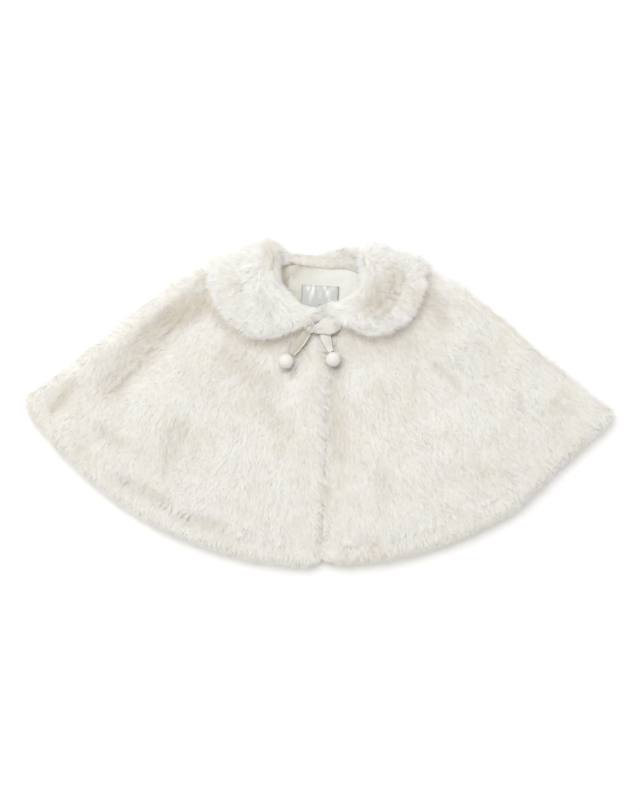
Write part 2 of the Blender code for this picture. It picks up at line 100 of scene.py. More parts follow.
# The tie's ribbons as they spread: share of the length, place, width and sideways lean in degrees
STRAP = (
    (0.00, -0.0062, 0.0788, 0.0084, 10.0),
    (0.22, 0.0004, 0.0797, 0.0130, 12.0),
    (0.50, 0.0084, 0.0820, 0.0190, 8.0),
    (0.76, 0.0152, 0.0820, 0.0156, 2.0),
    (1.00, 0.0222, 0.0828, 0.0070, -4.0),
)
TAIL_LEFT = (
    (0.00, -0.0128, 0.0762, 0.0088, 0.0),
    (0.35, -0.0190, 0.0672, 0.0108, 8.0),
    (0.75, -0.0258, 0.0582, 0.0098, 5.0),
    (1.00, -0.0300, 0.0524, 0.0074, 0.0),
)
TAIL_RIGHT = (
    (0.00, 0.0058, 0.0745, 0.0116, 0.0),
    (0.35, 0.0076, 0.0672, 0.0104, -6.0),
    (0.75, 0.0102, 0.0596, 0.0076, -3.0),
    (1.00, 0.0123, 0.0550, 0.0056, 0.0),
)
SEAM = (  # the neck seam
    (-0.040, 0.1475),
    (-0.027, 0.1485),
    (-0.008, 0.1462),
    (0.010, 0.1440),
    (0.028, 0.1440),
    (0.043, 0.1395),
)
SEAM_HEIGHT = 0.0199
SEAM_RADIUS = 0.00042
LINING_TUCK = 0.0035  # how far the lining goes on under the collar
STAND = (-0.046, 0.046)  # the collar's stand at the back neck, from side to side
STAND_TOP = 0.1585  # where it goes under the roll
STAND_FOOT = 0.0203  # height of its foot, on the seam
STAND_RISE = (0.0030, 0.0040)  # how far it rises from the seam, and how far it then falls
JOIN = (-0.001, 0.011, 0.088, 0.1035, 0.0305)  # the collar's ends meet: from x to x, from y to y, how high
JOIN_DROP = 0.010  # how far the join goes down on the neck's side
STRIP_STEPS = 40
STRIP_COLUMNS = 9
STRIP_PAINTED_SHADE = 0.2  # how much shade is painted on the strips' pile
RIBBON_WALL = 0.0010  # thickness of a ribbon's solid
RIBBON_CROWN = 0.0008  # how far a ribbon's edges droop below its middle
RIBBON_CLOTH = 0.0005


def metres(name, description, default):
    """A length, as a setting."""
    return FloatProperty(name=name, description=description, default=default, unit="LENGTH")


def share_of(name, description, default):
    """A share of a whole, as a setting."""
    return FloatProperty(name=name, description=description, default=default, subtype="FACTOR")


def colour_of(name, description, default):
    """A colour, as a setting."""
    return FloatVectorProperty(name=name, description=description, default=default, size=3, subtype="COLOR")


class PileSettings(bpy.types.PropertyGroup):
    """Sizes and colours of the fur."""

    length: metres("Length", "Length of a strand on the fronts", 0.0092)
    thickness: metres("Thickness", "Width of a strand at its middle", 0.00042)
    lean: FloatProperty(
        name="Lean",
        description="How far the strands lie over from upright",
        default=math.radians(58.0),
        subtype="ANGLE",
    )
    tuft: metres("Tuft", "Distance between neighbouring tufts", 0.0044)
    gather: share_of("Gather", "How far the tips gather into tufts", 0.30)
    ruffle: share_of("Ruffle", "How much the nap changes its direction", 0.60)
    depth: metres("Depth", "How far the cloth lies below the tips of its pile", 0.0055)
    soften: share_of("Soften", "How far the strands take the shading of the cloth below", 0.55)
    seed: IntProperty(name="Seed", description="Start of the random numbers", default=7)
    tip: colour_of("Tips", "Colour of the strands' tips", (0.893, 0.901, 0.910))
    # The roots are darker and warmer than the tips: painted shade deep in the pile.
    root: colour_of("Roots", "Colour of the strands' roots", (0.820, 0.776, 0.692))


class ClothSettings(bpy.types.PropertyGroup):
    """Colours and sizes of the lining, label and tie."""

    satin: colour_of("Lining", "Colour of the lining", (0.83, 0.825, 0.785))
    label: colour_of("Label", "Colour of the label", (0.58, 0.58, 0.57))
    ribbon: colour_of("Ribbon", "Colour of the tie", (0.745, 0.732, 0.690))
    felt: colour_of("Felt", "Colour of the balls", (0.80, 0.785, 0.745))
    # The seam's dark colour is partly painted shadow along the neck seam.
    seam: colour_of("Seam", "Colour of the neck seam", (0.60, 0.53, 0.41))
    stitch: metres("Stitch", "Distance between the label's stitches", 0.0026)


class StageSettings(bpy.types.PropertyGroup):
    """The floor, light and camera."""

    floor: colour_of("Floor", "Colour of the floor", (0.96, 0.96, 0.96))
    key: FloatProperty(name="Key", description="Power of the main light", default=51.0, unit="POWER")
    sky: FloatProperty(name="Sky", description="Strength of the light all round", default=0.755)
    height: metres("Height", "Camera above the floor", 2.4)
    width: metres("Width", "Width that the picture takes in", 0.6848)


# Nodes

def arithmetic(operation, swapped=False):
    """A method that adds a Math node."""

    def method(self, other):
        first, second = (other, self) if swapped else (self, other)
        return self.nodes.add("ShaderNodeMath", {"operation": operation}, {0: first, 1: second})

    return method


class Value:
    """A node's output. Arithmetic on it adds Math nodes."""

    def __init__(self, nodes, socket):
        self.nodes = nodes
        self.socket = socket

    def other(self, name):
        """Another output of the same node."""
        return Value(self.nodes, self.socket.node.outputs[name])

    __add__ = arithmetic("ADD")
    __radd__ = arithmetic("ADD", True)
    __mul__ = arithmetic("MULTIPLY")
    __rmul__ = arithmetic("MULTIPLY", True)
    __rtruediv__ = arithmetic("DIVIDE", True)
    __pow__ = arithmetic("POWER")


class Nodes:
    """A node tree that is written as expressions."""

    def __init__(self, tree):
        self.tree = tree

    def fill(self, node, inputs):
        """Sets or links a node's sockets."""
        for name, value in inputs.items():
            if isinstance(value, Value):
                self.tree.links.new(value.socket, node.inputs[name])
            else:
                node.inputs[name].default_value = value

    def add(self, kind, settings=None, inputs=None, output=0):
        """Adds a node with its settings, then the values or links of its sockets, and gives one output."""
        node = self.tree.nodes.new(kind)
        for name, value in (settings or {}).items():
            setattr(node, name, value)
        self.fill(node, inputs or {})
        return Value(self, node.outputs[output]) if node.outputs else None

    def vector(self, operation, first, second):
        return self.add("ShaderNodeVectorMath", {"operation": operation}, {0: first, 1: second})

    def scaled(self, vector, amount):
        return self.add("ShaderNodeVectorMath", {"operation": "SCALE"}, {0: vector, "Scale": amount})

    def dot(self, first, second):
        settings = {"operation": "DOT_PRODUCT"}
        return self.add("ShaderNodeVectorMath", settings, {0: first, 1: second}, "Value")

    def mix(self, share, first, second):
        """A colour between two colours."""
        inputs = {0: share, 6: first, 7: second}
        return self.add("ShaderNodeMix", {"data_type": "RGBA"}, inputs, 2)

    def attribute(self, name):
        """A number stored on the mesh, for a material."""
        return self.add("ShaderNodeAttribute", {"attribute_name": name}, output="Fac")

    def place(self):
        """Object coordinates, for a material."""
        return self.add("ShaderNodeTexCoord", output="Object")

    def noise(self, vector, size, detail=2.0, output="Fac"):
        """Soft noise with features of about that size in metres."""
        inputs = {"Vector": vector, "Scale": 1.0 / size, "Detail": detail}
        return self.add("ShaderNodeTexNoise", inputs=inputs, output=output)

    def bump(self, height, strength, distance):
        inputs = {"Strength": strength, "Distance": distance, "Height": height}
        return self.add("ShaderNodeBump", inputs=inputs)

    def trig(self, operation, angle):
        """Sine or cosine."""
        return self.add("ShaderNodeMath", {"operation": operation}, {0: angle})

    def random(self, low, high, seed):
        """A random number for each point, for a geometry tree."""
        return self.add("FunctionNodeRandomValue", inputs={2: low, 3: high, "Seed": seed}, output=1)

    def rotation(self, axes, first, second):
        """The turn that lays two axes, such as ZY, along these directions."""
        settings = {"primary_axis": axes[0], "secondary_axis": axes[1]}
        inputs = {"Primary Axis": first, "Secondary Axis": second}
        return self.add("FunctionNodeAxesToRotation", settings, inputs)

    def stored(self, name, kind):
        """A value stored on the geometry, for a geometry tree."""
        return self.add("GeometryNodeInputNamedAttribute", {"data_type": kind}, {"Name": name})

    def store(self, geometry, name, kind, value):
        settings = {"data_type": kind, "domain": "POINT"}
        inputs = {"Geometry": geometry, "Name": name, "Value": value}
        return self.add("GeometryNodeStoreNamedAttribute", settings, inputs)


def new_tree(name, sockets, output):
    """A geometry tree with these inputs and one output: its nodes, and the node that gives its inputs."""
    tree = bpy.data.node_groups.new(name, "GeometryNodeTree")
    for socket, kind in sockets.items():
        tree.interface.new_socket(socket, in_out="INPUT", socket_type="NodeSocket" + kind)
    tree.interface.new_socket(output, in_out="OUTPUT", socket_type="NodeSocketGeometry")
    nodes = Nodes(tree)
    return nodes, nodes.add("NodeGroupInput")


def close_tree(nodes, start, geometry, output):
    """Ends a geometry tree with its material."""
    inputs = {"Geometry": geometry, "Material": start.other("Finish")}
    nodes.add("NodeGroupOutput", inputs={output: nodes.add("GeometryNodeSetMaterial", inputs=inputs)})
    return nodes.tree


def finish(name):
    """A new material, with its nodes and its Principled shader."""
    made = bpy.data.materials.new(name)
    made.use_nodes = True
    return made, Nodes(made.node_tree), made.node_tree.nodes["Principled BSDF"]


def opaque(colour):
    return (*colour, 1.0)


def times(colour, factor):
    """A colour made deeper or paler, never quite white."""
    return tuple(min(part * factor, MOST_WHITE) for part in colour)


def fur_finish(pile):
    """Strands: darker and warmer towards the root as painted shade deep in the pile, almost white at the
    tip, no two quite alike, with painted shade in creases and by the collar.
    """
    made, nodes, shader = finish("fur strands")
    patch = nodes.noise(nodes.place(), 0.030, 3.0)
    tuft = nodes.noise(nodes.place(), 0.0060)
    colour = nodes.mix(nodes.attribute("reach") ** 0.7, opaque(pile.root), opaque(pile.tip))
    colour = nodes.mix(1.8 * patch ** 3.0 + 0.4 * tuft ** 3.0, colour, opaque(FUR_PATCH))
    colour = nodes.mix(nodes.attribute("tone") * 0.18, colour, opaque(FUR_PALE))
    # Painted shade: strands turn beige in creases and beside the collar's edge.
    colour = nodes.mix(nodes.attribute("hollow") * 0.85, colour, opaque(FUR_PAINTED_SHADE))
    look = {
        "Base Color": colour,
        "Roughness": 0.62,
        "Specular IOR Level": 0.25,
        "Sheen Weight": 0.25,
        "Sheen Roughness": 0.45,
    }
    nodes.fill(shader, look)
    through = nodes.add("ShaderNodeBsdfTranslucent", inputs={"Color": opaque(pile.tip)})
    surface = Value(nodes, shader.outputs["BSDF"])
    both = nodes.add("ShaderNodeMixShader", inputs={0: SEEN_THROUGH, 1: surface, 2: through})
    nodes.fill(nodes.tree.nodes["Material Output"], {"Surface": both})
    return made


def ground_finish(pile):
    """The cloth that the strands grow on, with the matted shade between them."""
    made, nodes, shader = finish("fur ground")
    fine = nodes.noise(nodes.place(), 0.0016, 3.0)
    tuft = nodes.noise(nodes.place(), 0.0070)
    colour = nodes.mix(tuft, opaque(pile.root), opaque(pile.tip))
    look = {
        "Base Color": nodes.mix(fine * 0.5, colour, opaque(FUR_MATTED)),
        "Normal": nodes.bump(fine + tuft, 0.6, 0.0015),
        "Roughness": 0.95,
        "Sheen Weight": 0.3,
    }
    nodes.fill(shader, look)
    return made


def satin_finish(name, colour, thread, sheen, roughness, shade=SATIN_SHADE):
    """Woven satin: fine threads, slow streaks in its gloss, and painted light stored on the mesh: painted
    shade in its folds, and a painted highlight where the shade colour is pale.
    """
    made, nodes, shader = finish(name)
    place = nodes.place()
    streak = nodes.noise(nodes.vector("MULTIPLY", place, (1.0, 0.12, 1.0)), 0.0022)
    threads = nodes.add(
        "ShaderNodeTexWave",
        {"bands_direction": "DIAGONAL"},
        {"Vector": place, "Scale": 0.31 / thread, "Distortion": 0.6, "Detail": 1.0},
        "Fac",
    )
    patch = nodes.noise(place, 0.020)
    paleness = 0.35 * streak + 0.4 * patch + 0.15 * threads
    woven = nodes.mix(paleness, opaque(times(colour, 0.86)), opaque(times(colour, 1.06)))
    look = {
        "Base Color": nodes.mix(nodes.attribute("tint"), woven, opaque(shade)),
        "Roughness": roughness - 0.10 + 0.22 * streak,
        "Normal": nodes.bump(threads, 0.25, thread * 0.5),
        "Sheen Weight": sheen,
        "Specular IOR Level": 0.4,
    }
    nodes.fill(shader, look)
    return made


def felt_finish(colour):
    """Felt: matted fibres in every direction."""
    made, nodes, shader = finish("felt")
    fibre = nodes.noise(nodes.place(), 0.0007, 3.0)
    patch = nodes.noise(nodes.place(), 0.0060)
    look = {
        "Base Color": nodes.mix(0.5 * fibre + 0.5 * patch, opaque(times(colour, 0.90)), opaque(colour)),
        "Normal": nodes.bump(fibre, 0.35, 0.0003),
        "Roughness": 0.92,
        "Sheen Weight": 0.3,
    }
    nodes.fill(shader, look)
    return made


def floor_finish(colour):
    """Paper, almost even."""
    made, nodes, shader = finish("floor")
    patch = nodes.noise(nodes.place(), 0.8)
    colour = nodes.mix(patch * 0.02, opaque(colour), opaque(FLOOR_PATCH))
    nodes.fill(shader, {"Base Color": colour, "Roughness": 0.9})
    return made


# Meshes

def eased(share):
    """0 to 1, starting and ending level."""
    share = np.clip(share, 0.0, 1.0)
    return share * share * (3.0 - 2.0 * share)


def bell(offset):
    """1 in the middle, falling to 0 at an offset of 1 either way."""
    return np.maximum(0.0, 1.0 - offset * offset) ** 2


def add_object(name, data, material):
    made = bpy.data.objects.new(name, data)
    bpy.context.scene.collection.objects.link(made)
    data.materials.clear()
    data.materials.append(material)
    return made


def merged_copy(node):
    """A bmesh of a CAD node with its loose triangles joined."""
    mesh = bmesh.new()
    mesh.from_mesh(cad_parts[node].data)
    bmesh.ops.remove_doubles(mesh, verts=list(mesh.verts), dist=1e-6)
    return mesh


def to_data(name, mesh):
    data = bpy.data.meshes.new(name)
    mesh.to_mesh(data)
    mesh.free()
    return data


def add_smooth(name, mesh, material):
    """A smooth object of a bmesh."""
    made = add_object(name, to_data(name, mesh), material)
    made.data.shade_smooth()
    return made


def skin(mesh, rows, columns):
    """Faces between rows of vertices, closed into a tube where there are as many columns as vertices."""
    for one, two in zip(rows, rows[1:]):
        for j in range(columns):
            k = (j + 1) % len(one)
            mesh.faces.new((one[j], one[k], two[k], two[j]))


def evaluated_mesh(made):
    """A plain mesh of what an object's modifiers make."""
    graph = bpy.context.evaluated_depsgraph_get()
    return bpy.data.meshes.new_from_object(made.evaluated_get(graph), depsgraph=graph)


def settle(made):
    """Applies an object's modifiers, and makes it smooth."""
    data = evaluated_mesh(made)
    old = made.data
    made.modifiers.clear()
    made.data = data
    bpy.data.meshes.remove(old)
    data.shade_smooth()


def run_tree(name, carrier, tree, values):
    """A plain mesh of what a geometry tree makes of an object, with these values for its named inputs."""
    modifier = carrier.modifiers.new(tree.name, "NODES")
    modifier.node_group = tree
    for item in tree.interface.items_tree:
        if item.in_out == "INPUT" and item.name in values:
            modifier[item.identifier] = values[item.name]
    data = evaluated_mesh(carrier)
    carrier.modifiers.remove(modifier)
    data.name = name
    data.shade_smooth()
    return data


def solid_tree(nodes):
    """Something to cast rays at: these CAD nodes as one."""
    places = []
    faces = []
    for node in nodes:
        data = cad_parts[node].data
        start = len(places)
        places += [vert.co.copy() for vert in data.vertices]
        faces += [[start + k for k in face.vertices] for face in data.polygons]
    return BVHTree.FromPolygons(places, faces)


def ray(tree, place, way):
    """How far it is from a place to a tree's surface that way, at most FAR."""
    hit = tree.ray_cast(place + way * TOUCH, way, FAR)
    return hit[3] if hit[0] else FAR


def closest(tree, place):
    """How far it is from a place to a tree's surface, at most FAR."""
    return tree.find_nearest(place, FAR)[3] or FAR


def points_of(data):
    """Vertices and normals as arrays."""
    count = len(data.vertices)
    places = np.empty(count * 3)
    normals = np.empty(count * 3)
    data.vertices.foreach_get("co", places)
    data.vertices.foreach_get("normal", normals)
    return places.reshape(-1, 3), normals.reshape(-1, 3)


def set_points(data, places):
    data.vertices.foreach_set("co", np.ascontiguousarray(places, dtype=np.float32).ravel())
    data.update()


def add_layer(data, name, kind, values):
    """Stores numbers or vectors on a mesh's vertices."""
    layer = data.attributes.new(name, kind, "POINT")
    slot = "vector" if kind == "FLOAT_VECTOR" else "value"
    layer.data.foreach_set(slot, np.ascontiguousarray(values, dtype=np.float32).ravel())


def ride(made, slot, *nodes):
    """Attaches a finished piece to the cape's root, and hides the CAD nodes that it takes the place of."""
    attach(made, "root")
    if nodes:
        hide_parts(*nodes)


# Fur

def strand():
    """One strand of unit length along z, bent over its middle, as an object for the tree to repeat."""
    mesh = bmesh.new()
    root = mesh.verts.new((0.0, 0.0, 0.0))
    left = mesh.verts.new((-0.5, 0.14, 0.45))
    right = mesh.verts.new((0.5, 0.14, 0.45))
    tip = mesh.verts.new((0.0, 0.0, 1.0))
    mesh.faces.new((root, left, right))
    mesh.faces.new((right, left, tip))
    data = to_data("strand", mesh)
    data.shade_smooth()
    add_layer(data, "reach", "FLOAT", [0.0, 0.45, 0.45, 1.0])
    made = bpy.data.objects.new("strand", data)
    bpy.context.scene.collection.objects.link(made)
    return made


PILE_INPUTS = {
    "Cloth": "Geometry",
    "Strand": "Object",
    "Density": "Float",
    "Length": "Float",
    "Thickness": "Float",
    "Lean": "Float",
    "Tuft": "Float",
    "Gather": "Float",
    "Ruffle": "Float",
    "Seed": "Int",
    "Finish": "Material",
}
LOOSE = 0.30  # how far each strand strays from the nap
LEAN_VARIES = 0.22  # how far a strand's lean may be off, in radians
LENGTH_VARIES = (0.72, 1.15)  # shortest and longest strand, as shares
SWIRLS = (0.034, 0.0075)  # size of the nap's broad and near swirls
UNEVEN = 0.026  # size of the patches where the pile is longer or shorter
CELL_DISORDER = 0.9  # how unevenly the tufts lie
FLOOR_GAP = 0.0004  # no strand goes lower


def pile_tree():
    """The tree that grows a pile on a cloth, whose mesh gives the nap, cover and height at each place."""
    if "pile" in bpy.data.node_groups:
        return bpy.data.node_groups["pile"]
    nodes, start = new_tree("pile", PILE_INPUTS, "Pile")
    seed = start.other("Seed")

    cover = nodes.stored("cover", "FLOAT")
    inputs = {"Mesh": start.other("Cloth"), "Density": start.other("Density") * cover, "Seed": seed}
    points = nodes.add("GeometryNodeDistributePointsOnFaces", inputs=inputs)
    normal = points.other("Normal")
    place = nodes.add("GeometryNodeInputPosition")
    rooted = nodes.store(points, "root", "FLOAT_VECTOR", place)
    rooted = nodes.store(rooted, "upright", "FLOAT_VECTOR", normal)
    rooted = nodes.store(rooted, "tone", "FLOAT", nodes.random(0.0, 1.0, seed + 1))

    nap = nodes.stored("nap", "FLOAT_VECTOR")
    for size in SWIRLS:
        swirl = nodes.vector("SUBTRACT", nodes.noise(place, size, 1.0, "Color"), (0.5, 0.5, 0.5))
        nap = nodes.vector("ADD", nap, nodes.scaled(swirl, 3.0 * start.other("Ruffle")))
    loose = nodes.add(
        "FunctionNodeRandomValue",
        {"data_type": "FLOAT_VECTOR"},
        {0: (-LOOSE, -LOOSE, -LOOSE), 1: (LOOSE, LOOSE, LOOSE), "Seed": seed + 2},
    )
    nap = nodes.vector("ADD", nap, loose)
    level = nodes.vector("SUBTRACT", nap, nodes.scaled(normal, nodes.dot(nap, normal)))
    lean = start.other("Lean") + nodes.random(-LEAN_VARIES, LEAN_VARIES, seed + 3)
    sideways = nodes.scaled(level, nodes.trig("SINE", lean))
    upwards = nodes.scaled(normal, nodes.trig("COSINE", lean))
    way = nodes.vector("ADD", sideways, upwards)
    way = nodes.add("ShaderNodeVectorMath", {"operation": "NORMALIZE"}, {0: way})
    turn = nodes.rotation("ZY", way, nodes.vector("ADD", normal, (0.0, 0.0, 0.5)))
    vary = nodes.random(*LENGTH_VARIES, seed + 4)
    length = start.other("Length") * nodes.stored("height", "FLOAT") * vary
    length = length * (0.80 + 0.4 * nodes.noise(place, UNEVEN, 1.0))
    inputs = {"X": start.other("Thickness") * vary, "Y": length, "Z": length}
    size = nodes.add("ShaderNodeCombineXYZ", inputs=inputs)
    blade = nodes.add("GeometryNodeObjectInfo", inputs={"Object": start.other("Strand")}, output="Geometry")
    inputs = {"Points": rooted, "Instance": blade, "Rotation": turn, "Scale": size}
    pile = nodes.add("GeometryNodeInstanceOnPoints", inputs=inputs)
    pile = nodes.add("GeometryNodeRealizeInstances", inputs={"Geometry": pile})

    root = nodes.stored("root", "FLOAT_VECTOR")
    upright = nodes.stored("upright", "FLOAT_VECTOR")
    reach = nodes.stored("reach", "FLOAT")
    cells = {"Vector": root, "Scale": 1.0 / start.other("Tuft"), "Randomness": CELL_DISORDER}
    middle = nodes.add("ShaderNodeTexVoronoi", inputs=cells, output="Position")
    pull = nodes.vector("SUBTRACT", middle, root)
    pull = nodes.vector("SUBTRACT", pull, nodes.scaled(upright, nodes.dot(pull, upright)))
    moved = nodes.scaled(pull, start.other("Gather") * reach ** 1.4)
    pile = nodes.add("GeometryNodeSetPosition", inputs={"Geometry": pile, "Offset": moved})
    lowest = nodes.vector("MAXIMUM", nodes.add("GeometryNodeInputPosition"), (-9.0, -9.0, FLOOR_GAP))
    pile = nodes.add("GeometryNodeSetPosition", inputs={"Geometry": pile, "Position": lowest})
    for name in ("root", "nap", "cover", "height"):
        pile = nodes.add("GeometryNodeRemoveAttribute", inputs={"Geometry": pile, "Name": name})
    return close_tree(nodes, start, pile, "Pile")


def spread(data, values, rounds):
    """Evens numbers on a mesh's vertices out over their neighbours."""
    edges = np.empty(len(data.edges) * 2, dtype=np.int32)
    data.edges.foreach_get("vertices", edges)
    edges = edges.reshape(-1, 2)
    count = np.bincount(edges.ravel(), minlength=len(values))
    for _ in range(rounds):
        total = np.bincount(edges[:, 0], values[edges[:, 1]], len(values))
        total += np.bincount(edges[:, 1], values[edges[:, 0]], len(values))
        values = 0.5 * values + 0.5 * total / np.maximum(count, 1)
    return values


PILES = {  # fur and down of each kind: strands on a square metre, first seed, share of the fronts' length
    "front": ((280000.0, 20, 1.0), (1500000.0, 40, 0.88)),
    "collar": ((420000.0, 30, 1.35), (2500000.0, 50, 1.2)),
    "strip": ((600000.0, 60, 1.0), (2500000.0, 70, 1.0)),
}
BACK_PILE = (500000.0, 10, 0.85)  # the same for the back, which has fur alone
BACK_LEAN = math.radians(72.0)
COLLAR_CALM = 0.6  # how much of the fronts' ruffle the collar has
WALL_TAKEN = (0.42, 0.6)  # most of a wall that the pile takes up, and with its creases
UNDERSIDE = (0.6, 0.7, 0.55)  # how much less the cloth is drawn in below, and its pile thinner and shorter
STANDS_OUT = (0.7, 0.4)  # how much less the fringe leans, and how much longer it is
SHADING = ("collar_left", "collar_right")  # what overhangs the fronts
TIE = ("tie", "ball")
HEM_CORNER = (-0.172, 0.020)  # how low the fronts' corners are, and how far round them the pile parts
FRINGE = 0.085  # beyond this the pile stands out from the shoulders' edges
SHOULDER = (0.126, 0.045, 0.008)  # where the shoulders are fuller beside the collar, half how wide, how far
FLAT_HEM = (0.270, -0.071, 0.085)  # where the right hem runs straighter: x, y, how far round
FLAT_HEM_IN = (-0.0058, 0.0061, 0.0)  # and how far in it lies there
UNDER_TIE = 0.75  # how tall a leaning strand stands, as a share of its length
STRAP_CLEAR = 1.5  # how long the collar's strands are by the strap, as a multiple of their distance from it
MEET = 0.009  # the cloth is hardly drawn in where its mate is closer than this
MEET_BARE = 0.0025  # and no pile grows where it is closer than this
CENTRE_TURN = 0.018  # how far from the fronts' meeting line their pile turns to it
TIE_STAND = 0.012  # how far from the tie the pile stands up
COLLAR_SHADE = 0.017  # how far from the collar shade is painted on the fronts
BACK_NECK = (0.136, 0.014)  # where the collar's fur begins to run backwards, and over how far
BACK_NECK_SIDES = (0.030, 0.010, 0.006, 0.010)  # from which |x| on, over how far, it begins and ends later
COLLAR_ENDS = (0.005, 0.014)  # where the collar's ends meet, and how far from there their pile turns to it
STRAP_GAP = (-0.011, 0.026)  # where the collar's pile is short above the strap: middle and half the width
TROUGHS = {  # soft creases: from x, y to x, y, half the width, depth, and how strong the painted shade in it is
    "front_left": (
        (-0.1279, 0.1060, -0.1580, 0.0893, 0.0170, 0.0026, 1.00),
        (-0.1578, 0.0872, -0.1921, 0.0487, 0.0190, 0.0016, 0.62),
        (-0.1921, 0.0487, -0.2220, 0.0187, 0.0170, 0.0014, 0.50),
        (-0.2616, 0.0209, -0.2809, -0.0048, 0.0075, 0.0012, 0.60),
        (-0.2349, -0.0219, -0.2113, -0.0391, 0.0080, 0.0010, 0.40),
        (-0.2092, -0.0808, -0.1621, -0.1033, 0.0080, 0.0009, 0.45),
        (-0.1450, -0.1204, -0.1043, -0.1289, 0.0075, 0.0008, 0.38),
        (-0.1493, -0.0219, -0.1621, -0.0690, 0.0110, 0.0010, 0.30),
        (-0.0936, 0.0551, -0.0572, 0.0252, 0.0170, 0.0008, 0.40),
        (-0.0615, 0.0037, -0.0337, -0.0305, 0.0110, 0.0010, 0.30),
    ),
    "front_right": (
        (0.1118, 0.1214, 0.1289, 0.0872, 0.0120, 0.0014, 0.55),
        (0.0348, 0.0640, 0.0861, 0.0640, 0.0190, 0.0010, 0.42),
        (0.1236, 0.0423, 0.1450, 0.0230, 0.0060, 0.0010, 0.45),
        (0.2120, 0.0134, 0.2152, -0.0055, 0.0040, 0.0008, 0.40),
        (0.2500, 0.0040, 0.2620, -0.0070, 0.0050, 0.0008, 0.35),
        (0.0348, 0.0000, 0.0423, -0.0102, 0.0040, 0.0008, 0.35),
        (0.1621, -0.0551, 0.1717, -0.0722, 0.0050, 0.0008, 0.30),
        (0.0642, -0.0722, 0.0690, -0.1086, 0.0100, 0.0008, 0.25),
        (0.0150, 0.0326, 0.0190, -0.0530, 0.0120, 0.0012, 0.40),
    ),
    "collar_left": (
        (-0.0551, 0.1664, -0.0487, 0.1514, 0.0050, 0.0008, 0.45),
        (-0.0893, 0.1279, -0.0776, 0.1225, 0.0050, 0.0008, 0.35),
        (-0.0615, 0.1150, -0.0465, 0.0915, 0.0070, 0.0008, 0.30),
    ),
    "collar_right": (
        (0.0733, 0.1322, 0.0605, 0.1065, 0.0135, 0.0008, 0.75),
    ),
    "back": (
        (-0.1500, 0.0600, -0.1900, -0.0300, 0.0150, 0.0010, 0.40),
        (0.1200, 0.0500, 0.1500, -0.0500, 0.0150, 0.0010, 0.40),
        (0.0100, 0.0200, -0.0100, -0.1000, 0.0120, 0.0010, 0.35),
    ),
}
FLOW = {  # how the nap runs on each kind of cloth: away from the neck, down the cape, and up
    "front": (0.95, 0.35, -0.20),
    "back": (0.95, 0.35, -0.10),
    "collar": (1.00, 0.15, 0.10),
}


def troughs(node, places):
    """How deep a piece's creases are at each place, and how much shade is painted in them."""
    depth = np.zeros(len(places))
    shade = np.zeros(len(places))
    for x0, y0, x1, y1, half, deep, warm in TROUGHS[node]:
        way = np.array((x1 - x0, y1 - y0))
        off = places[:, :2] - np.array((x0, y0))
        share = np.clip(off @ way / (way @ way), 0.0, 1.0)
        far = np.linalg.norm(off - share[:, None] * way, axis=1)
        depth = np.maximum(depth, deep * bell(far / (1.4 * half)))
        shade = np.maximum(shade, warm * bell(far / (1.4 * half)))
    return depth, shade


def surroundings(node, kind, places, normals):
    """What is around each place of a cloth, as distances of at most FAR."""
    names = list(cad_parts)
    own = solid_tree([node])
    others = solid_tree([other for other in names if not other.startswith((kind, *TIE))])
    tie = solid_tree([other for other in names if other.startswith(TIE)])
    mates = solid_tree([other for other in names if other.startswith(kind) and other != node] or [node])
    collar = solid_tree(SHADING)
    strap = solid_tree(["tie_strap"])
    near = {name: np.full(len(places), FAR) for name in ("wall", "clear", "above", "mate", "collar", "tie")}
    for k, (place, normal) in enumerate(zip(places, normals)):
        place, normal = Vector(place), Vector(normal)
        near["wall"][k] = ray(own, place, -normal)
        near["clear"][k] = ray(others, place, normal)
        if normal.z > 0.0:
            near["above"][k] = min(ray(others, place, UP), ray(tie, place, UP) / UNDER_TIE)
        if kind != "back":
            near["mate"][k] = ray(mates, place, normal)
        if kind == "front":
            near["collar"][k] = closest(collar, place)
            near["tie"][k] = closest(tie, place)
        if kind == "collar" and place.x < STRAP_TUCK:
            near["above"][k] = min(near["above"][k], STRAP_CLEAR * closest(strap, place))
        elif kind == "collar":
            near["above"][k] = FAR
    return near


def along_cloth(nap, normals):
    """The part of a nap that runs along its cloth."""
    return nap - normals * np.sum(nap * normals, axis=1)[:, None]


def collar_pile(side, places, normals, out):
    """The collar's nap, which turns over the roll round the neck, and how tall its pile stands."""
    x, y = places[:, 0], places[:, 1]
    start, reach, later, wider = BACK_NECK_SIDES
    beyond = eased((np.abs(x) - start) / reach)
    behind = eased((y - BACK_NECK[0] - later * beyond) / (BACK_NECK[1] + wider * beyond))
    round_neck = np.hypot(x / ROLL[0], (y - NECK.y) / ROLL[1])
    turn = -side * ROLL_TURN * eased((1.5 - round_neck) / 0.5) * (1.0 - behind)
    ahead = np.stack((-out[:, 1], out[:, 0], np.zeros(len(out))), axis=1)
    inward = np.clip(-np.sum(out * normals, axis=1), 0.0, 1.0)
    away, down, up = FLOW["collar"]
    nap = away * (out * np.cos(turn)[:, None] + ahead * np.sin(turn)[:, None]) + np.array((0.0, -down, up))
    nap = along_cloth(nap, normals) * (1.0 - (0.85 * behind * inward)[:, None])
    nap *= 1.0 - (2.0 * behind * (1.0 - behind) * beyond)[:, None]
    edge = eased(1.0 - np.abs(x - COLLAR_ENDS[0] * (1.0 - behind)) / COLLAR_ENDS[1])
    nap[:, 0] -= side * (0.8 + 0.3 * behind) * edge
    nap[:, 2] += 0.9 * edge * (1.0 - behind)
    sides = 1.0 - np.abs(normals[:, 2])
    height = 1.0 - 0.65 * inward * behind + 0.2 * sides * (1.0 - inward)
    height *= 1.0 - 0.7 * bell((x - STRAP_GAP[0]) / STRAP_GAP[1]) * eased((1.35 - round_neck) / 0.3)
    return nap, height


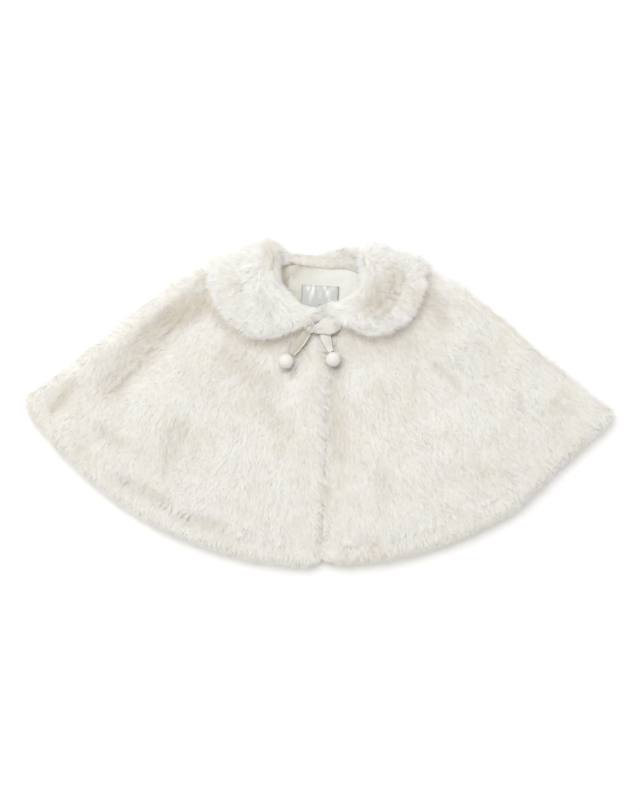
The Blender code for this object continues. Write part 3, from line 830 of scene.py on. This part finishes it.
def front_pile(side, places, nap, tie):
    """A front's nap and height: the pile meets at the centre, parts at the hem and stands up by the tie."""
    edge = eased(1.0 - np.abs(places[:, 0] - CENTRE_LINE) / CENTRE_TURN)
    by_tie = eased(1.0 - tie / TIE_STAND)
    corner = bell(np.hypot(places[:, 0] - CENTRE_LINE, places[:, 1] - HEM_CORNER[0]) / HEM_CORNER[1])
    nap[:, 0] -= side * (1.2 - 0.4 * side) * edge
    nap[:, 2] += 1.1 * edge
    nap *= 1.0 - 0.6 * by_tie[:, None]
    nap[:, 0] += side * 2.2 * corner
    return nap, (1.0 + (0.25 - 0.25 * side) * edge) * (1.0 + 0.3 * by_tie) * (1.0 - 0.45 * corner)


def fur_cloth(name, node, kind, material):
    """The cloth under a pile: a CAD node's form, drawn in from where the tips of the pile reach.

    Its mesh says which way the nap runs, where the pile grows and how tall it stands.
    """
    made = add_object(name, to_data(name, merged_copy(node)), material)
    even = made.modifiers.new("even", "REMESH")
    even.mode = "VOXEL"
    even.voxel_size = CLOTH_GRID
    soft = made.modifiers.new("soft", "SMOOTH")
    soft.iterations = 6
    settle(made)
    data = made.data
    places, normals = points_of(data)
    across = np.abs(places[:, 0])
    near = surroundings(node, kind, places, normals)
    pile = bpy.context.scene.cape_pile
    under = eased((-normals[:, 2] - 0.15) / 0.4)
    sides = 1.0 - np.abs(normals[:, 2])
    rim = sides * eased(normals[:, 1] / 0.4) if kind != "collar" else np.zeros(len(places))
    outside = -normals[:, 2] if kind == "back" else normals[:, 2]
    facing = eased((outside - 0.2) / 0.5)
    bare = np.where(near["clear"] > COVERED, 1.0, 0.0)
    depth, shade = troughs(node, places)

    drawn = np.minimum(pile.depth, WALL_TAKEN[0] * near["wall"])
    drawn *= spread(data, bare, 4) * (1.0 - UNDERSIDE[0] * under)
    drawn *= np.where(near["mate"] < MEET, 0.15, 1.0)
    drawn = np.minimum(drawn + depth * facing, WALL_TAKEN[1] * near["wall"])
    drawn -= SHOULDER[2] * rim * bell((across - SHOULDER[0]) / SHOULDER[1])
    from_flat = np.hypot(places[:, 0] - FLAT_HEM[0], places[:, 1] - FLAT_HEM[1])
    straighter = bell(from_flat / FLAT_HEM[2])[:, None] * np.array(FLAT_HEM_IN)
    set_points(data, places - normals * drawn[:, None] + straighter)

    out = places - np.array(NECK)
    out[:, 2] = 0.0
    out /= np.maximum(np.linalg.norm(out, axis=1), 1e-6)[:, None]
    side = -1.0 if node.endswith("left") else 1.0
    if kind == "collar":
        nap, tall = collar_pile(side, places, normals, out)
    else:
        away, down, up = FLOW[kind]
        nap, tall = along_cloth(out * away + np.array((0.0, -down, up)), normals), 1.0
    if kind == "front":
        nap, tall = front_pile(side, places, nap, near["tie"])
    fringe = rim * eased((across - FRINGE) / 0.02)
    nap *= 1.0 - STANDS_OUT[0] * fringe[:, None]
    height = np.clip(np.minimum(near["clear"], near["above"]) / pile.length, 0.3, 1.0)
    height *= (1.0 - UNDERSIDE[2] * under) * (1.0 + 0.10 * sides) * tall * (1.0 + STANDS_OUT[1] * fringe)
    cover = np.where(near["mate"] < MEET_BARE, 0.0, bare) * (1.0 - UNDERSIDE[1] * under)
    # Painted shade: in creases on the outer face, and on the fronts near the collar's edge.
    hollow = np.maximum(shade * facing, 0.8 * eased(1.0 - near["collar"] / COLLAR_SHADE))
    add_layers(data, nap, cover, height, hollow)
    return made


def add_layers(data, nap, cover, height, hollow):
    """Stores what a pile takes from its cloth."""
    add_layer(data, "nap", "FLOAT_VECTOR", nap)
    add_layer(data, "cover", "FLOAT", cover)
    add_layer(data, "height", "FLOAT", height)
    add_layer(data, "hollow", "FLOAT", hollow)


def strip_cloth(name, grid, nap, height, material):
    """A strip of cloth through a grid of points, for a pile with one nap and a height for each point."""
    mesh = bmesh.new()
    verts = [[mesh.verts.new(point) for point in line] for line in grid]
    for one, two in zip(verts, verts[1:]):
        for j in range(len(one) - 1):
            mesh.faces.new((one[j], two[j], two[j + 1], one[j + 1]))
    made = add_smooth(name, mesh, material)
    count = len(made.data.vertices)
    # Every strip gets the same painted shade.
    add_layers(made.data, np.tile(nap, (count, 1)), np.ones(count), height, np.full(count, STRIP_PAINTED_SHADE))
    return made


def collar_stand(material):
    """The collar's stand at the back neck: the strip between the neck seam and the roll."""
    grid = []
    height = []
    for k in range(STRIP_STEPS + 1):
        x = STAND[0] + (STAND[1] - STAND[0]) * k / STRIP_STEPS
        seam = along(SEAM, x)[1]
        line = []
        for j in range(STRIP_COLUMNS):
            share = j / (STRIP_COLUMNS - 1)
            off = (STAND_TOP - seam) * share
            rise = STAND_RISE[0] * math.sin(2.6 * share) - STAND_RISE[1] * share * share
            line.append(Vector((x, seam + off, STAND_FOOT + rise)))
            height.append(min(max(off / 0.0085, 0.15), 0.65))
        grid.append(line)
    return strip_cloth("collar_stand_cloth", grid, (0.15, -0.5, 0.6), height, material)


def collar_join(material):
    """The strip under the collar's two ends, where they meet above the tie."""
    left, right, front, back, top = JOIN
    grid = []
    for k in range(STRIP_STEPS + 1):
        x = left + (right - left) * k / STRIP_STEPS
        line = []
        for j in range(STRIP_COLUMNS):
            drop = JOIN_DROP * float(eased((j - 5) / 3))
            line.append(Vector((x, front + (back - front) * min(j, 6) / 6, top - drop)))
        grid.append(line)
    height = np.full((STRIP_STEPS + 1) * STRIP_COLUMNS, 0.55)
    return strip_cloth("collar_join_cloth", grid, (0.0, -0.2, 1.0), height, material)


def soften(data, share):
    """Turns the strands' shading part of the way to that of the cloth below, as fine fur scatters light."""
    count = len(data.vertices)
    cloth = np.empty(count * 3, dtype=np.float32)
    data.attributes["upright"].data.foreach_get("vector", cloth)
    own = np.empty(count * 3, dtype=np.float32)
    data.vertex_normals.foreach_get("vector", own)
    cloth, own = cloth.reshape(-1, 3), own.reshape(-1, 3)
    wanted = cloth * share
    wanted[:, 2] += LIFT * eased((cloth[:, 2] + 0.6) / 0.6)
    turned = np.where(np.sum(wanted * own, axis=1)[:, None] < 0.0, -1.0, 1.0)
    normals = own * (1.0 - share) + wanted * turned
    normals /= np.linalg.norm(normals, axis=1)[:, None]
    data.normals_split_custom_set_from_vertices(normals)
    data.attributes.remove(data.attributes["upright"])


def covered_area(cloth):
    """Area on which a cloth's pile grows."""
    data = cloth.data
    cover = np.empty(len(data.vertices))
    data.attributes["cover"].data.foreach_get("value", cover)
    return sum(face.area * np.mean(cover[list(face.vertices)]) for face in data.polygons)


def grow(name, cloth, density, seed, material, share=1.0, lean=None, shades=True, calm=1.0):
    """Grows a pile on a cloth, as a mesh of its own, which may throw no shadows."""
    pile = bpy.context.scene.cape_pile
    blade = strand()
    most = PIECE_FACES / STRAND_FACES / covered_area(cloth)
    values = {
        "Strand": blade,
        "Density": min(density, most),
        "Length": pile.length * share,
        "Thickness": pile.thickness,
        "Lean": pile.lean if lean is None else lean,
        "Tuft": pile.tuft,
        "Gather": pile.gather,
        "Ruffle": pile.ruffle * calm,
        "Seed": pile.seed + seed,
        "Finish": material,
    }
    data = run_tree(name, cloth, pile_tree(), values)
    bpy.data.objects.remove(blade)
    if len(data.polygons) < FEWEST_FACES:
        raise RuntimeError(f"no pile grew on {cloth.name}")
    soften(data, pile.soften)
    made = add_object(name, data, material)
    made.visible_shadow = shades
    return made


def fur_and_down(name, cloth, kind, number, calm=1.0):
    """Long strands, and a finer down that lets the light through to the cloth."""
    made = []
    for layer, (density, seed, share) in zip(("fur", "down"), PILES[kind]):
        options = {"share": share, "shades": layer == "fur", "calm": calm}
        made.append(grow(f"{name}_{layer}", cloth, density, seed + number, finish_once("fur"), **options))
    return made


# Satin

def along(rows, place):
    """The row at a place, on a smooth curve through a table whose first column is the place."""
    place = min(max(place, rows[0][0]), rows[-1][0])
    last = len(rows) - 2
    at = next((k for k in range(last + 1) if place <= rows[k + 1][0]), last)

    def slope(k, column):
        low, high = rows[max(k - 1, 0)], rows[min(k + 1, len(rows) - 1)]
        return (high[column] - low[column]) / (high[0] - low[0])

    start, stop = rows[at], rows[at + 1]
    span = stop[0] - start[0]
    t = (place - start[0]) / span
    values = [place]
    for column in range(1, len(start)):
        rise = start[column] * (1 + 2 * t) * (1 - t) ** 2 + stop[column] * t * t * (3 - 2 * t)
        bend = slope(at, column) * t * (1 - t) ** 2 - slope(at + 1, column) * t * t * (1 - t)
        values.append(rise + bend * span)
    return values


def add_ribbon(name, node, rows, crease, tint, material, steps=44, columns=14):
    """A satin ribbon on the line of its CAD node, with creases, and painted shade and highlights, given by
    (along, across).
    """
    solid = solid_tree([node])
    mesh = bmesh.new()
    layer = mesh.verts.layers.float.new("tint")
    grid = []
    _, x, y, _, _ = along(rows, 0.0)
    height = solid.find_nearest(Vector((x, y, 0.1)))[0].z - RIBBON_WALL / 2.0 - RIBBON_CROWN
    for k in range(steps + 1):
        share = k / steps
        _, x, y, width, lean = along(rows, share)
        ahead, before = along(rows, share + 0.02), along(rows, share - 0.02)
        way = Vector((ahead[1] - before[1], ahead[2] - before[2], 0.0)).normalized()
        side = Vector((-way.y, way.x, 0.0))
        lean = math.radians(lean)
        hit = solid.ray_cast(Vector((x, y, 0.1)) + way * 0.0004 * (1 - 2 * share), -UP)
        if hit[0]:
            height = hit[0].z - RIBBON_WALL / 2.0 - RIBBON_CROWN
        row = []
        for j in range(columns + 1):
            across = 2.0 * j / columns - 1.0
            offset = (side * math.cos(lean) + UP * math.sin(lean)) * width / 2.0 * across
            rise = RIBBON_CROWN * (1.0 - across * across) + crease(share, across)
            vert = mesh.verts.new(Vector((x, y, height + rise)) + offset)
            vert[layer] = tint(share, across)
            row.append(vert)
        grid.append(row)
    skin(mesh, grid, columns)
    bmesh.ops.recalc_face_normals(mesh, faces=list(mesh.faces))
    made = add_object(name, to_data(name, mesh), material)
    wall = made.modifiers.new("wall", "SOLIDIFY")
    wall.thickness = RIBBON_CLOTH
    wall.offset = 0.0
    soft = made.modifiers.new("soft", "SUBSURF")
    soft.levels = soft.render_levels = 1
    settle(made)
    return made


def fine_copy(name, node, cuts, material):
    """A CAD node's form with its faces cut finer."""
    mesh = merged_copy(node)
    bmesh.ops.dissolve_limit(mesh, angle_limit=1e-4, verts=list(mesh.verts), edges=list(mesh.edges))
    bmesh.ops.triangulate(mesh, faces=list(mesh.faces))
    for _ in range(cuts):
        bmesh.ops.subdivide_edges(mesh, edges=list(mesh.edges), cuts=1, use_grid_fill=True)
    return add_smooth(name, mesh, material)


FOLD_TOP = (-0.0290, 0.150)  # where the lining's one soft fold starts
FOLD_SLOPE = 0.0050 / 0.032  # how far to the left it runs on its way down
FOLD_RISE = 0.0034
GATHER_RISE = 0.00055  # the gathers under the seam: how high
GATHER_PITCH = 0.0046  # how far apart
GATHER_SLANT = 140.0  # how they turn on their way down
GATHER_AT = (0.010, 0.015)  # their middle and half their width
WAVE_RISE = 0.0005  # slow waves across the whole lining


def lining_fold_line(y):
    """Where the lining's one soft fold runs."""
    return FOLD_TOP[0] - FOLD_SLOPE * (FOLD_TOP[1] - y)


def lining_gathers(x, y):
    """From -1 to 1 across each of the lining's gathers."""
    return np.sin(2.0 * math.pi * x / GATHER_PITCH + GATHER_SLANT * y)


def gathered(x):
    """How much the lining is gathered at a place along its seam."""
    return bell((x - GATHER_AT[0]) / GATHER_AT[1])


def lining_folds(x, y):
    """Height of the lining's folds: one soft fold at the left, and gathers under the seam."""
    fold = FOLD_RISE * bell((x - lining_fold_line(y)) / 0.0070) * eased((y - 0.112) / 0.014)
    gather = GATHER_RISE * (0.5 + 0.5 * lining_gathers(x, y)) * gathered(x) * eased((y - 0.127) / 0.014)
    wave = WAVE_RISE * (0.5 + 0.5 * np.sin(x * 95.0 + 1.3)) * eased((y - 0.120) / 0.010)
    return fold + gather + wave


def lining_painted_light(places):
    """The lining's painted shade: near the collar, towards the left, left of its fold and in the valley
    beside it, and in its gathers, with a painted highlight on the fold's ridge.
    """
    x, y = places[:, 0], places[:, 1]
    collar = solid_tree(SHADING)
    near = np.array([closest(collar, Vector(place)) for place in places])
    off = x - lining_fold_line(y)
    tint = 0.35 * eased(1.0 - near / 0.010) * (x < 0.0)
    tint += 0.58 * eased((0.004 - off) / 0.006)
    tint += 0.42 * eased((0.034 - x) / 0.060)
    tint += 0.25 * bell((off - 0.0060) / 0.0045) - 0.35 * bell((off - 0.0010) / 0.0035)
    tint += 0.22 * lining_gathers(x, y) * gathered(x) * eased((y - 0.126) / 0.012)
    return np.clip(tint, 0.0, 1.0)


def add_lining(cloth):
    """The lining's back neck."""
    satin = satin_finish("lining satin", tuple(cloth.satin), 0.0004, 0.15, 0.42)
    lining = fine_copy("lining_satin", "lining", 3, satin)
    places, _ = points_of(lining.data)
    places[:, 2] += lining_folds(places[:, 0], places[:, 1])
    places[:, 1] += LINING_TUCK * eased((places[:, 1] - 0.138) / 0.010)
    set_points(lining.data, places)
    # Painted shade, and a painted highlight on the fold's ridge.
    add_layer(lining.data, "tint", "FLOAT", lining_painted_light(places))
    return lining


LABEL_TURN = math.radians(-3.0)
LABEL_MIDDLE = (0.0003, 0.1130)
LABEL_STITCHED = ((-0.0190, -0.0118), (-0.0190, 0.0120), (0.0190, 0.0120), (0.0190, -0.0118))
LABEL_RISE = 0.0007  # height of its puckers
STITCH = (0.0012, 0.0007, 0.0005)
SIDE_STEPS = 20
LABEL_GATHERS = (  # puckers under the label's stitched top: place, half the width, foot, strength and slant
    (-0.0148, 0.0012, 0.1110, 0.55, 0.10),
    (-0.0118, 0.0019, 0.1080, 0.80, -0.25),
    (-0.0064, 0.0024, 0.1040, 0.95, 0.22),
    (-0.0008, 0.0016, 0.1080, 0.70, -0.10),
    (0.0030, 0.0011, 0.1120, 0.50, 0.30),
    (0.0062, 0.0021, 0.1050, 0.90, -0.28),
    (0.0124, 0.0020, 0.1060, 0.75, 0.15),
    (0.0160, 0.0011, 0.1115, 0.50, -0.15),
)


def label_streaks(x, y):
    """How far up each of the label's puckers a place is, 0 to 1."""
    streaks = np.zeros(len(x))
    for middle, half, foot, strength, slant in LABEL_GATHERS:
        line = middle + slant * (y - 0.124)
        streaks = np.maximum(streaks, strength * bell((x - line) / half) * eased((y - foot) / 0.014))
    return streaks


def label_folds(x, y):
    """Height of the label's puckers, which fade away from its stitched top."""
    return LABEL_RISE * label_streaks(x, y) * eased((0.1265 - y) / 0.002)


def add_label(cloth):
    """The label, bare, with puckers under its top and a painted highlight along them."""
    woven = satin_finish("label satin", tuple(cloth.label), 0.0003, 0.10, 0.40, LABEL_PAINTED_HIGHLIGHT)
    label = fine_copy("label_satin", "label", 4, woven)
    places, _ = points_of(label.data)
    places[:, 2] += label_folds(places[:, 0], places[:, 1])
    set_points(label.data, places)
    # A painted highlight along the puckers.
    add_layer(label.data, "tint", "FLOAT", label_streaks(places[:, 0], places[:, 1]))
    return label


def label_edge():
    """Points up, along and down just inside the label's edge, on its puckers."""
    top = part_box("label")[1][2]
    corners = [Vector(spot) for spot in LABEL_STITCHED]
    line = []
    for one, two in zip(corners, corners[1:]):
        for k in range(SIDE_STEPS):
            flat = one.lerp(two, k / SIDE_STEPS)
            x = LABEL_MIDDLE[0] + flat.x * math.cos(LABEL_TURN) - flat.y * math.sin(LABEL_TURN)
            y = LABEL_MIDDLE[1] + flat.x * math.sin(LABEL_TURN) + flat.y * math.cos(LABEL_TURN)
            rise = float(label_folds(np.array([x]), np.array([y]))[0])
            line.append(Vector((x, y, top + 0.0002 + rise)))
    return line


def add_seam(cloth):
    """The neck seam, a thin cord of satin between the lining and the collar's stand, dark partly as painted
    shadow along the seam.
    """
    start, stop = SEAM[0][0], SEAM[-1][0]
    line = []
    for k in range(STRIP_STEPS + 1):
        x = start + (stop - start) * k / STRIP_STEPS
        line.append(Vector((x, along(SEAM, x)[1], SEAM_HEIGHT)))
    satin = satin_finish("seam", tuple(cloth.seam), 0.0003, 0.1, 0.6)
    return add_tube("neck_seam", line, SEAM_RADIUS, satin)


def add_tube(name, points, radius, material, sides=8):
    """A thin round cord of satin through these points."""
    mesh = bmesh.new()
    rings = []
    for k, point in enumerate(points):
        way = (points[min(k + 1, len(points) - 1)] - points[max(k - 1, 0)]).normalized()
        side = way.cross(UP).normalized()
        top = side.cross(way)
        ring = []
        for j in range(sides):
            turn = 2.0 * math.pi * j / sides
            ring.append(mesh.verts.new(point + (side * math.cos(turn) + top * math.sin(turn)) * radius))
        rings.append(ring)
    skin(mesh, rings, sides)
    mesh.faces.new(rings[0][::-1])
    mesh.faces.new(rings[-1])
    bmesh.ops.recalc_face_normals(mesh, faces=list(mesh.faces))
    return add_smooth(name, mesh, material)


def stitch_tree():
    """The tree that sews small stitches along a line."""
    if "stitches" in bpy.data.node_groups:
        return bpy.data.node_groups["stitches"]
    sockets = {"Line": "Geometry", "Distance": "Float", "Size": "Vector", "Finish": "Material"}
    nodes, start = new_tree("stitches", sockets, "Stitches")
    curve = nodes.add("GeometryNodeMeshToCurve", inputs={"Mesh": start.other("Line")})
    inputs = {"Curve": curve, "Length": start.other("Distance")}
    points = nodes.add("GeometryNodeCurveToPoints", {"mode": "LENGTH"}, inputs)
    bead = nodes.add("GeometryNodeMeshUVSphere", inputs={"Segments": 8, "Rings": 6, "Radius": 0.5})
    turn = nodes.rotation("XZ", points.other("Tangent"), tuple(UP))
    inputs = {"Points": points, "Instance": bead, "Rotation": turn, "Scale": start.other("Size")}
    sewn = nodes.add("GeometryNodeInstanceOnPoints", inputs=inputs)
    sewn = nodes.add("GeometryNodeRealizeInstances", inputs={"Geometry": sewn})
    return close_tree(nodes, start, sewn, "Stitches")


def sew(name, points, distance, size, material):
    """A row of stitches along these points, as a mesh."""
    mesh = bmesh.new()
    line = [mesh.verts.new(point) for point in points]
    for one, two in zip(line, line[1:]):
        mesh.edges.new((one, two))
    carrier = add_object("line", to_data("line", mesh), material)
    values = {"Distance": distance, "Size": size, "Finish": material}
    data = run_tree(name, carrier, stitch_tree(), values)
    bpy.data.objects.remove(carrier)
    return add_object(name, data, material)


def middle_of(node):
    """The middle of a CAD node's box, and half its size."""
    low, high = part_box(node)
    return (Vector(low) + Vector(high)) / 2.0, (Vector(high) - Vector(low)) / 2.0


def scaled(vector, factors):
    """A vector with each part multiplied."""
    return Vector(part * factor for part, factor in zip(vector, factors))


def add_ball(name, node, material):
    """A felt ball: a little out of round, with a matted face."""
    middle, half = middle_of(node)
    mesh = bmesh.new()
    bmesh.ops.create_icosphere(mesh, subdivisions=5, radius=1.0)
    for vert in mesh.verts:
        way = vert.co.normalized()
        lump = 0.020 * noise.noise(way * 1.6 + middle * 40.0)
        mat = 0.007 * noise.noise(way * 9.0) + 0.004 * noise.noise(way * 23.0)
        vert.co = middle + scaled(way, half) * (0.985 + lump + mat)
    return add_smooth(name, mesh, material)


def add_knot(name, node, material):
    """The tie's knot: a soft roll of ribbon with folds running round it, and painted shade on it, deepest
    in the folds.
    """
    middle, half = middle_of(node)
    mesh = bmesh.new()
    layer = mesh.verts.layers.float.new("tint")
    bmesh.ops.create_uvsphere(mesh, u_segments=48, v_segments=32, radius=1.0)
    for vert in mesh.verts:
        way = vert.co.normalized()
        turn = math.atan2(way.z, way.y)
        fold = 0.07 * math.sin(3.0 * turn + 5.0 * way.x) * (1.0 - way.x * way.x)
        waist = 1.0 - 0.10 * math.cos(way.x * math.pi)
        lump = 0.08 * noise.noise(way * 2.2)
        # Painted shade, deeper in the hollows of the folds.
        vert[layer] = min(max(0.55 - 4.0 * fold, 0.2), 1.0)
        form = Vector((way.x, way.y * waist * 1.12, way.z * waist)) * (0.98 + fold + lump)
        vert.co = middle + scaled(form, half)
    return add_smooth(name, mesh, material)


# Operators

class CAPE_OT_stage(bpy.types.Operator):
    """Add the floor, the light and the camera"""

    bl_idname = "cape.stage"
    bl_label = "Stage"

    def execute(self, context):
        stage = context.scene.cape_stage
        mesh = bmesh.new()
        bmesh.ops.create_grid(mesh, x_segments=4, y_segments=4, size=FLOOR_HALF)
        floor = add_object("floor", to_data("floor", mesh), floor_finish(stage.floor))
        world = bpy.data.worlds.new("studio")
        world.use_nodes = True
        sky = world.node_tree.nodes["Background"]
        sky.inputs["Color"].default_value = opaque(SKY)
        sky.inputs["Strength"].default_value = stage.sky
        context.scene.world = world
        light = bpy.data.lights.new("key", "AREA")
        light.energy = stage.key
        light.shape = "DISK"
        light.size = KEY_SIZE
        light.color = KEY
        key = bpy.data.objects.new("key", light)
        key.location = KEY_PLACE
        key.rotation_euler = (-key.location).to_track_quat("-Z", "Y").to_euler()
        context.scene.collection.objects.link(key)
        lens = bpy.data.cameras.new("camera")
        lens.sensor_fit = "HORIZONTAL"
        lens.sensor_width = SENSOR
        lens.lens = SENSOR * (stage.height - PICTURE_HEIGHT) / stage.width
        camera = bpy.data.objects.new("camera", lens)
        camera.location = (*PICTURE_MIDDLE, stage.height)
        context.scene.collection.objects.link(camera)
        context.scene.camera = camera
        context.scene.view_settings.view_transform = "Standard"
        return {"FINISHED"}


class CAPE_OT_back(bpy.types.Operator):
    """Add the back, which lies under the fronts with its fur down"""

    bl_idname = "cape.back"
    bl_label = "Back"

    def execute(self, context):
        cloth = fur_cloth("back_cloth", "back", "back", finish_once("ground"))
        density, seed, share = BACK_PILE
        fur = grow("back_fur", cloth, density, seed, finish_once("fur"), share, BACK_LEAN)
        ride(cloth, "fur", "back")
        ride(fur, "fur")
        return {"FINISHED"}


class CAPE_OT_fronts(bpy.types.Operator):
    """Add the two fronts"""

    bl_idname = "cape.fronts"
    bl_label = "Fronts"

    def execute(self, context):
        for k, node in enumerate(("front_left", "front_right")):
            cloth = fur_cloth(node + "_cloth", node, "front", finish_once("ground"))
            piles = fur_and_down(node, cloth, "front", k)
            ride(cloth, "fur", node)
            for pile in piles:
                ride(pile, "fur")
        return {"FINISHED"}


class CAPE_OT_collar(bpy.types.Operator):
    """Add the collar's two halves"""

    bl_idname = "cape.collar"
    bl_label = "Collar"

    def execute(self, context):
        strips = []
        ground = finish_once("ground")
        for k, strip in enumerate((collar_stand(ground), collar_join(ground))):
            name = strip.name.replace("_cloth", "")
            strips += [strip, *fur_and_down(name, strip, "strip", k)]
        for strip in strips:
            ride(strip, "fur")
        for k, node in enumerate(("collar_left", "collar_right")):
            cloth = fur_cloth(node + "_cloth", node, "collar", ground)
            piles = fur_and_down(node, cloth, "collar", k, COLLAR_CALM)
            ride(cloth, "fur", node)
            for pile in piles:
                ride(pile, "fur")
        return {"FINISHED"}


class CAPE_OT_lining(bpy.types.Operator):
    """Add the lining's back neck, with the seam above it and the label on it"""

    bl_idname = "cape.lining"
    bl_label = "Lining and label"

    def execute(self, context):
        cloth = context.scene.cape_cloth
        lining = add_lining(cloth)
        ride(lining, "satin", "lining")
        label = add_label(cloth)
        ride(label, "label", "label")
        thread = satin_finish("label thread", THREAD, 0.0002, 0.1, 0.5)
        sewn = sew("label_stitches", label_edge(), cloth.stitch, STITCH, thread)
        ride(sewn, "label")
        seam = add_seam(cloth)
        ride(seam, "satin")
        return {"FINISHED"}


class CAPE_OT_tie(bpy.types.Operator):
    """Add the tie's strap, knot and tails"""

    bl_idname = "cape.tie"
    bl_label = "Tie"

    def execute(self, context):
        ribbon = satin_finish("ribbon satin", tuple(context.scene.cape_cloth.ribbon), 0.0004, 0.2, 0.45)

        def near(value, middle, width):
            return math.exp(-(((value - middle) / width) ** 2))

        def strap_crease(share, across):
            fold = -0.0006 * near(share, 0.20, 0.10) * near(across, -0.15, 0.22)
            return fold + 0.0004 * near(across, 0.92, 0.10) - 0.0035 * float(eased((share - 0.70) / 0.30))

        def tail_crease(share, across):
            edge = 0.00055 * near(across, 0.86, 0.12) - 0.00035 * near(across, 0.55, 0.18)
            middle = 0.0002 * near(across, -0.35, 0.20)
            return (edge + middle) * (0.35 + 0.65 * math.sin(math.pi * min(share * 1.1, 1.0)))

        # Painted shade on the ribbons: the strap's fold and lower edge, the left tail's face with a painted
        # highlight on its edge, the right tail's crease and its top under the strap.
        def strap_painted_shade(share, across):
            fold = 0.6 * near(share, 0.20, 0.09) * near(across, -0.15, 0.16)
            return max(0.5 * near(across, -1.0, 0.20), fold)

        def left_tail_painted_light(share, across):
            return 0.94 + 0.06 * near(across, 0.55, 0.22) - 0.9 * near(across, 0.90, 0.14)

        def right_tail_painted_shade(share, across):
            return 0.02 + 0.35 * near(across, 0.62, 0.15) + 0.35 * near(share, 0.0, 0.12)

        strap = add_ribbon("tie_strap_satin", "tie_strap", STRAP, strap_crease, strap_painted_shade, ribbon)
        left = add_ribbon("tie_tail_left_satin", "tie_tail_left", TAIL_LEFT, tail_crease, left_tail_painted_light, ribbon)
        right = add_ribbon(
            "tie_tail_right_satin", "tie_tail_right", TAIL_RIGHT, tail_crease, right_tail_painted_shade, ribbon
        )
        for made, node, size in (
            (strap, "tie_strap", (0.018, 0.030)),
            (left, "tie_tail_left", (0.011, 0.030)),
            (right, "tie_tail_right", (0.012, 0.021)),
        ):
            ride(made, "ribbon", node)
        knot = add_knot("tie_knot_satin", "tie_knot", ribbon)
        ride(knot, "ribbon", "tie_knot")
        return {"FINISHED"}


class CAPE_OT_balls(bpy.types.Operator):
    """Add the felt balls on the ends of the tie"""

    bl_idname = "cape.balls"
    bl_label = "Balls"

    def execute(self, context):
        felt = felt_finish(tuple(context.scene.cape_cloth.felt))
        for node in ("ball_left", "ball_right"):
            ball = add_ball(node + "_felt", node, felt)
            ride(ball, "felt", node)
        return {"FINISHED"}


class CAPE_PT_panel(bpy.types.Panel):
    """The cape's pieces, in the order they are made"""

    bl_idname = "CAPE_PT_panel"
    bl_label = "Fur cape"
    bl_space_type = "VIEW_3D"
    bl_region_type = "UI"
    bl_category = "Cape"

    def draw(self, context):
        for operator in OPERATORS:
            self.layout.operator(operator.bl_idname)
        for name in ("cape_pile", "cape_cloth", "cape_stage"):
            settings = getattr(context.scene, name)
            for prop in settings.__annotations__:
                self.layout.prop(settings, prop)


def finish_once(name):
    """The fur's two materials, made once."""
    pile = bpy.context.scene.cape_pile
    wanted = {"fur": "fur strands", "ground": "fur ground"}[name]
    if wanted in bpy.data.materials:
        return bpy.data.materials[wanted]
    return fur_finish(pile) if name == "fur" else ground_finish(pile)


OPERATORS = (
    CAPE_OT_stage,
    CAPE_OT_back,
    CAPE_OT_fronts,
    CAPE_OT_collar,
    CAPE_OT_lining,
    CAPE_OT_tie,
    CAPE_OT_balls,
)
GROUPS = {"cape_pile": PileSettings, "cape_cloth": ClothSettings, "cape_stage": StageSettings}


def register():
    for name, group in GROUPS.items():
        bpy.utils.register_class(group)
        setattr(bpy.types.Scene, name, PointerProperty(type=group))
    for operator in OPERATORS:
        bpy.utils.register_class(operator)
    bpy.utils.register_class(CAPE_PT_panel)


def unregister():
    bpy.utils.unregister_class(CAPE_PT_panel)
    for operator in reversed(OPERATORS):
        bpy.utils.unregister_class(operator)
    for name, group in reversed(GROUPS.items()):
        delattr(bpy.types.Scene, name)
        bpy.utils.unregister_class(group)


def main():
    register()
    bpy.ops.cape.stage()
    bpy.ops.cape.back()
    bpy.ops.cape.fronts()
    bpy.ops.cape.collar()
    bpy.ops.cape.lining()
    bpy.ops.cape.tie()
    bpy.ops.cape.balls()


if __name__ == "__main__":
    main()
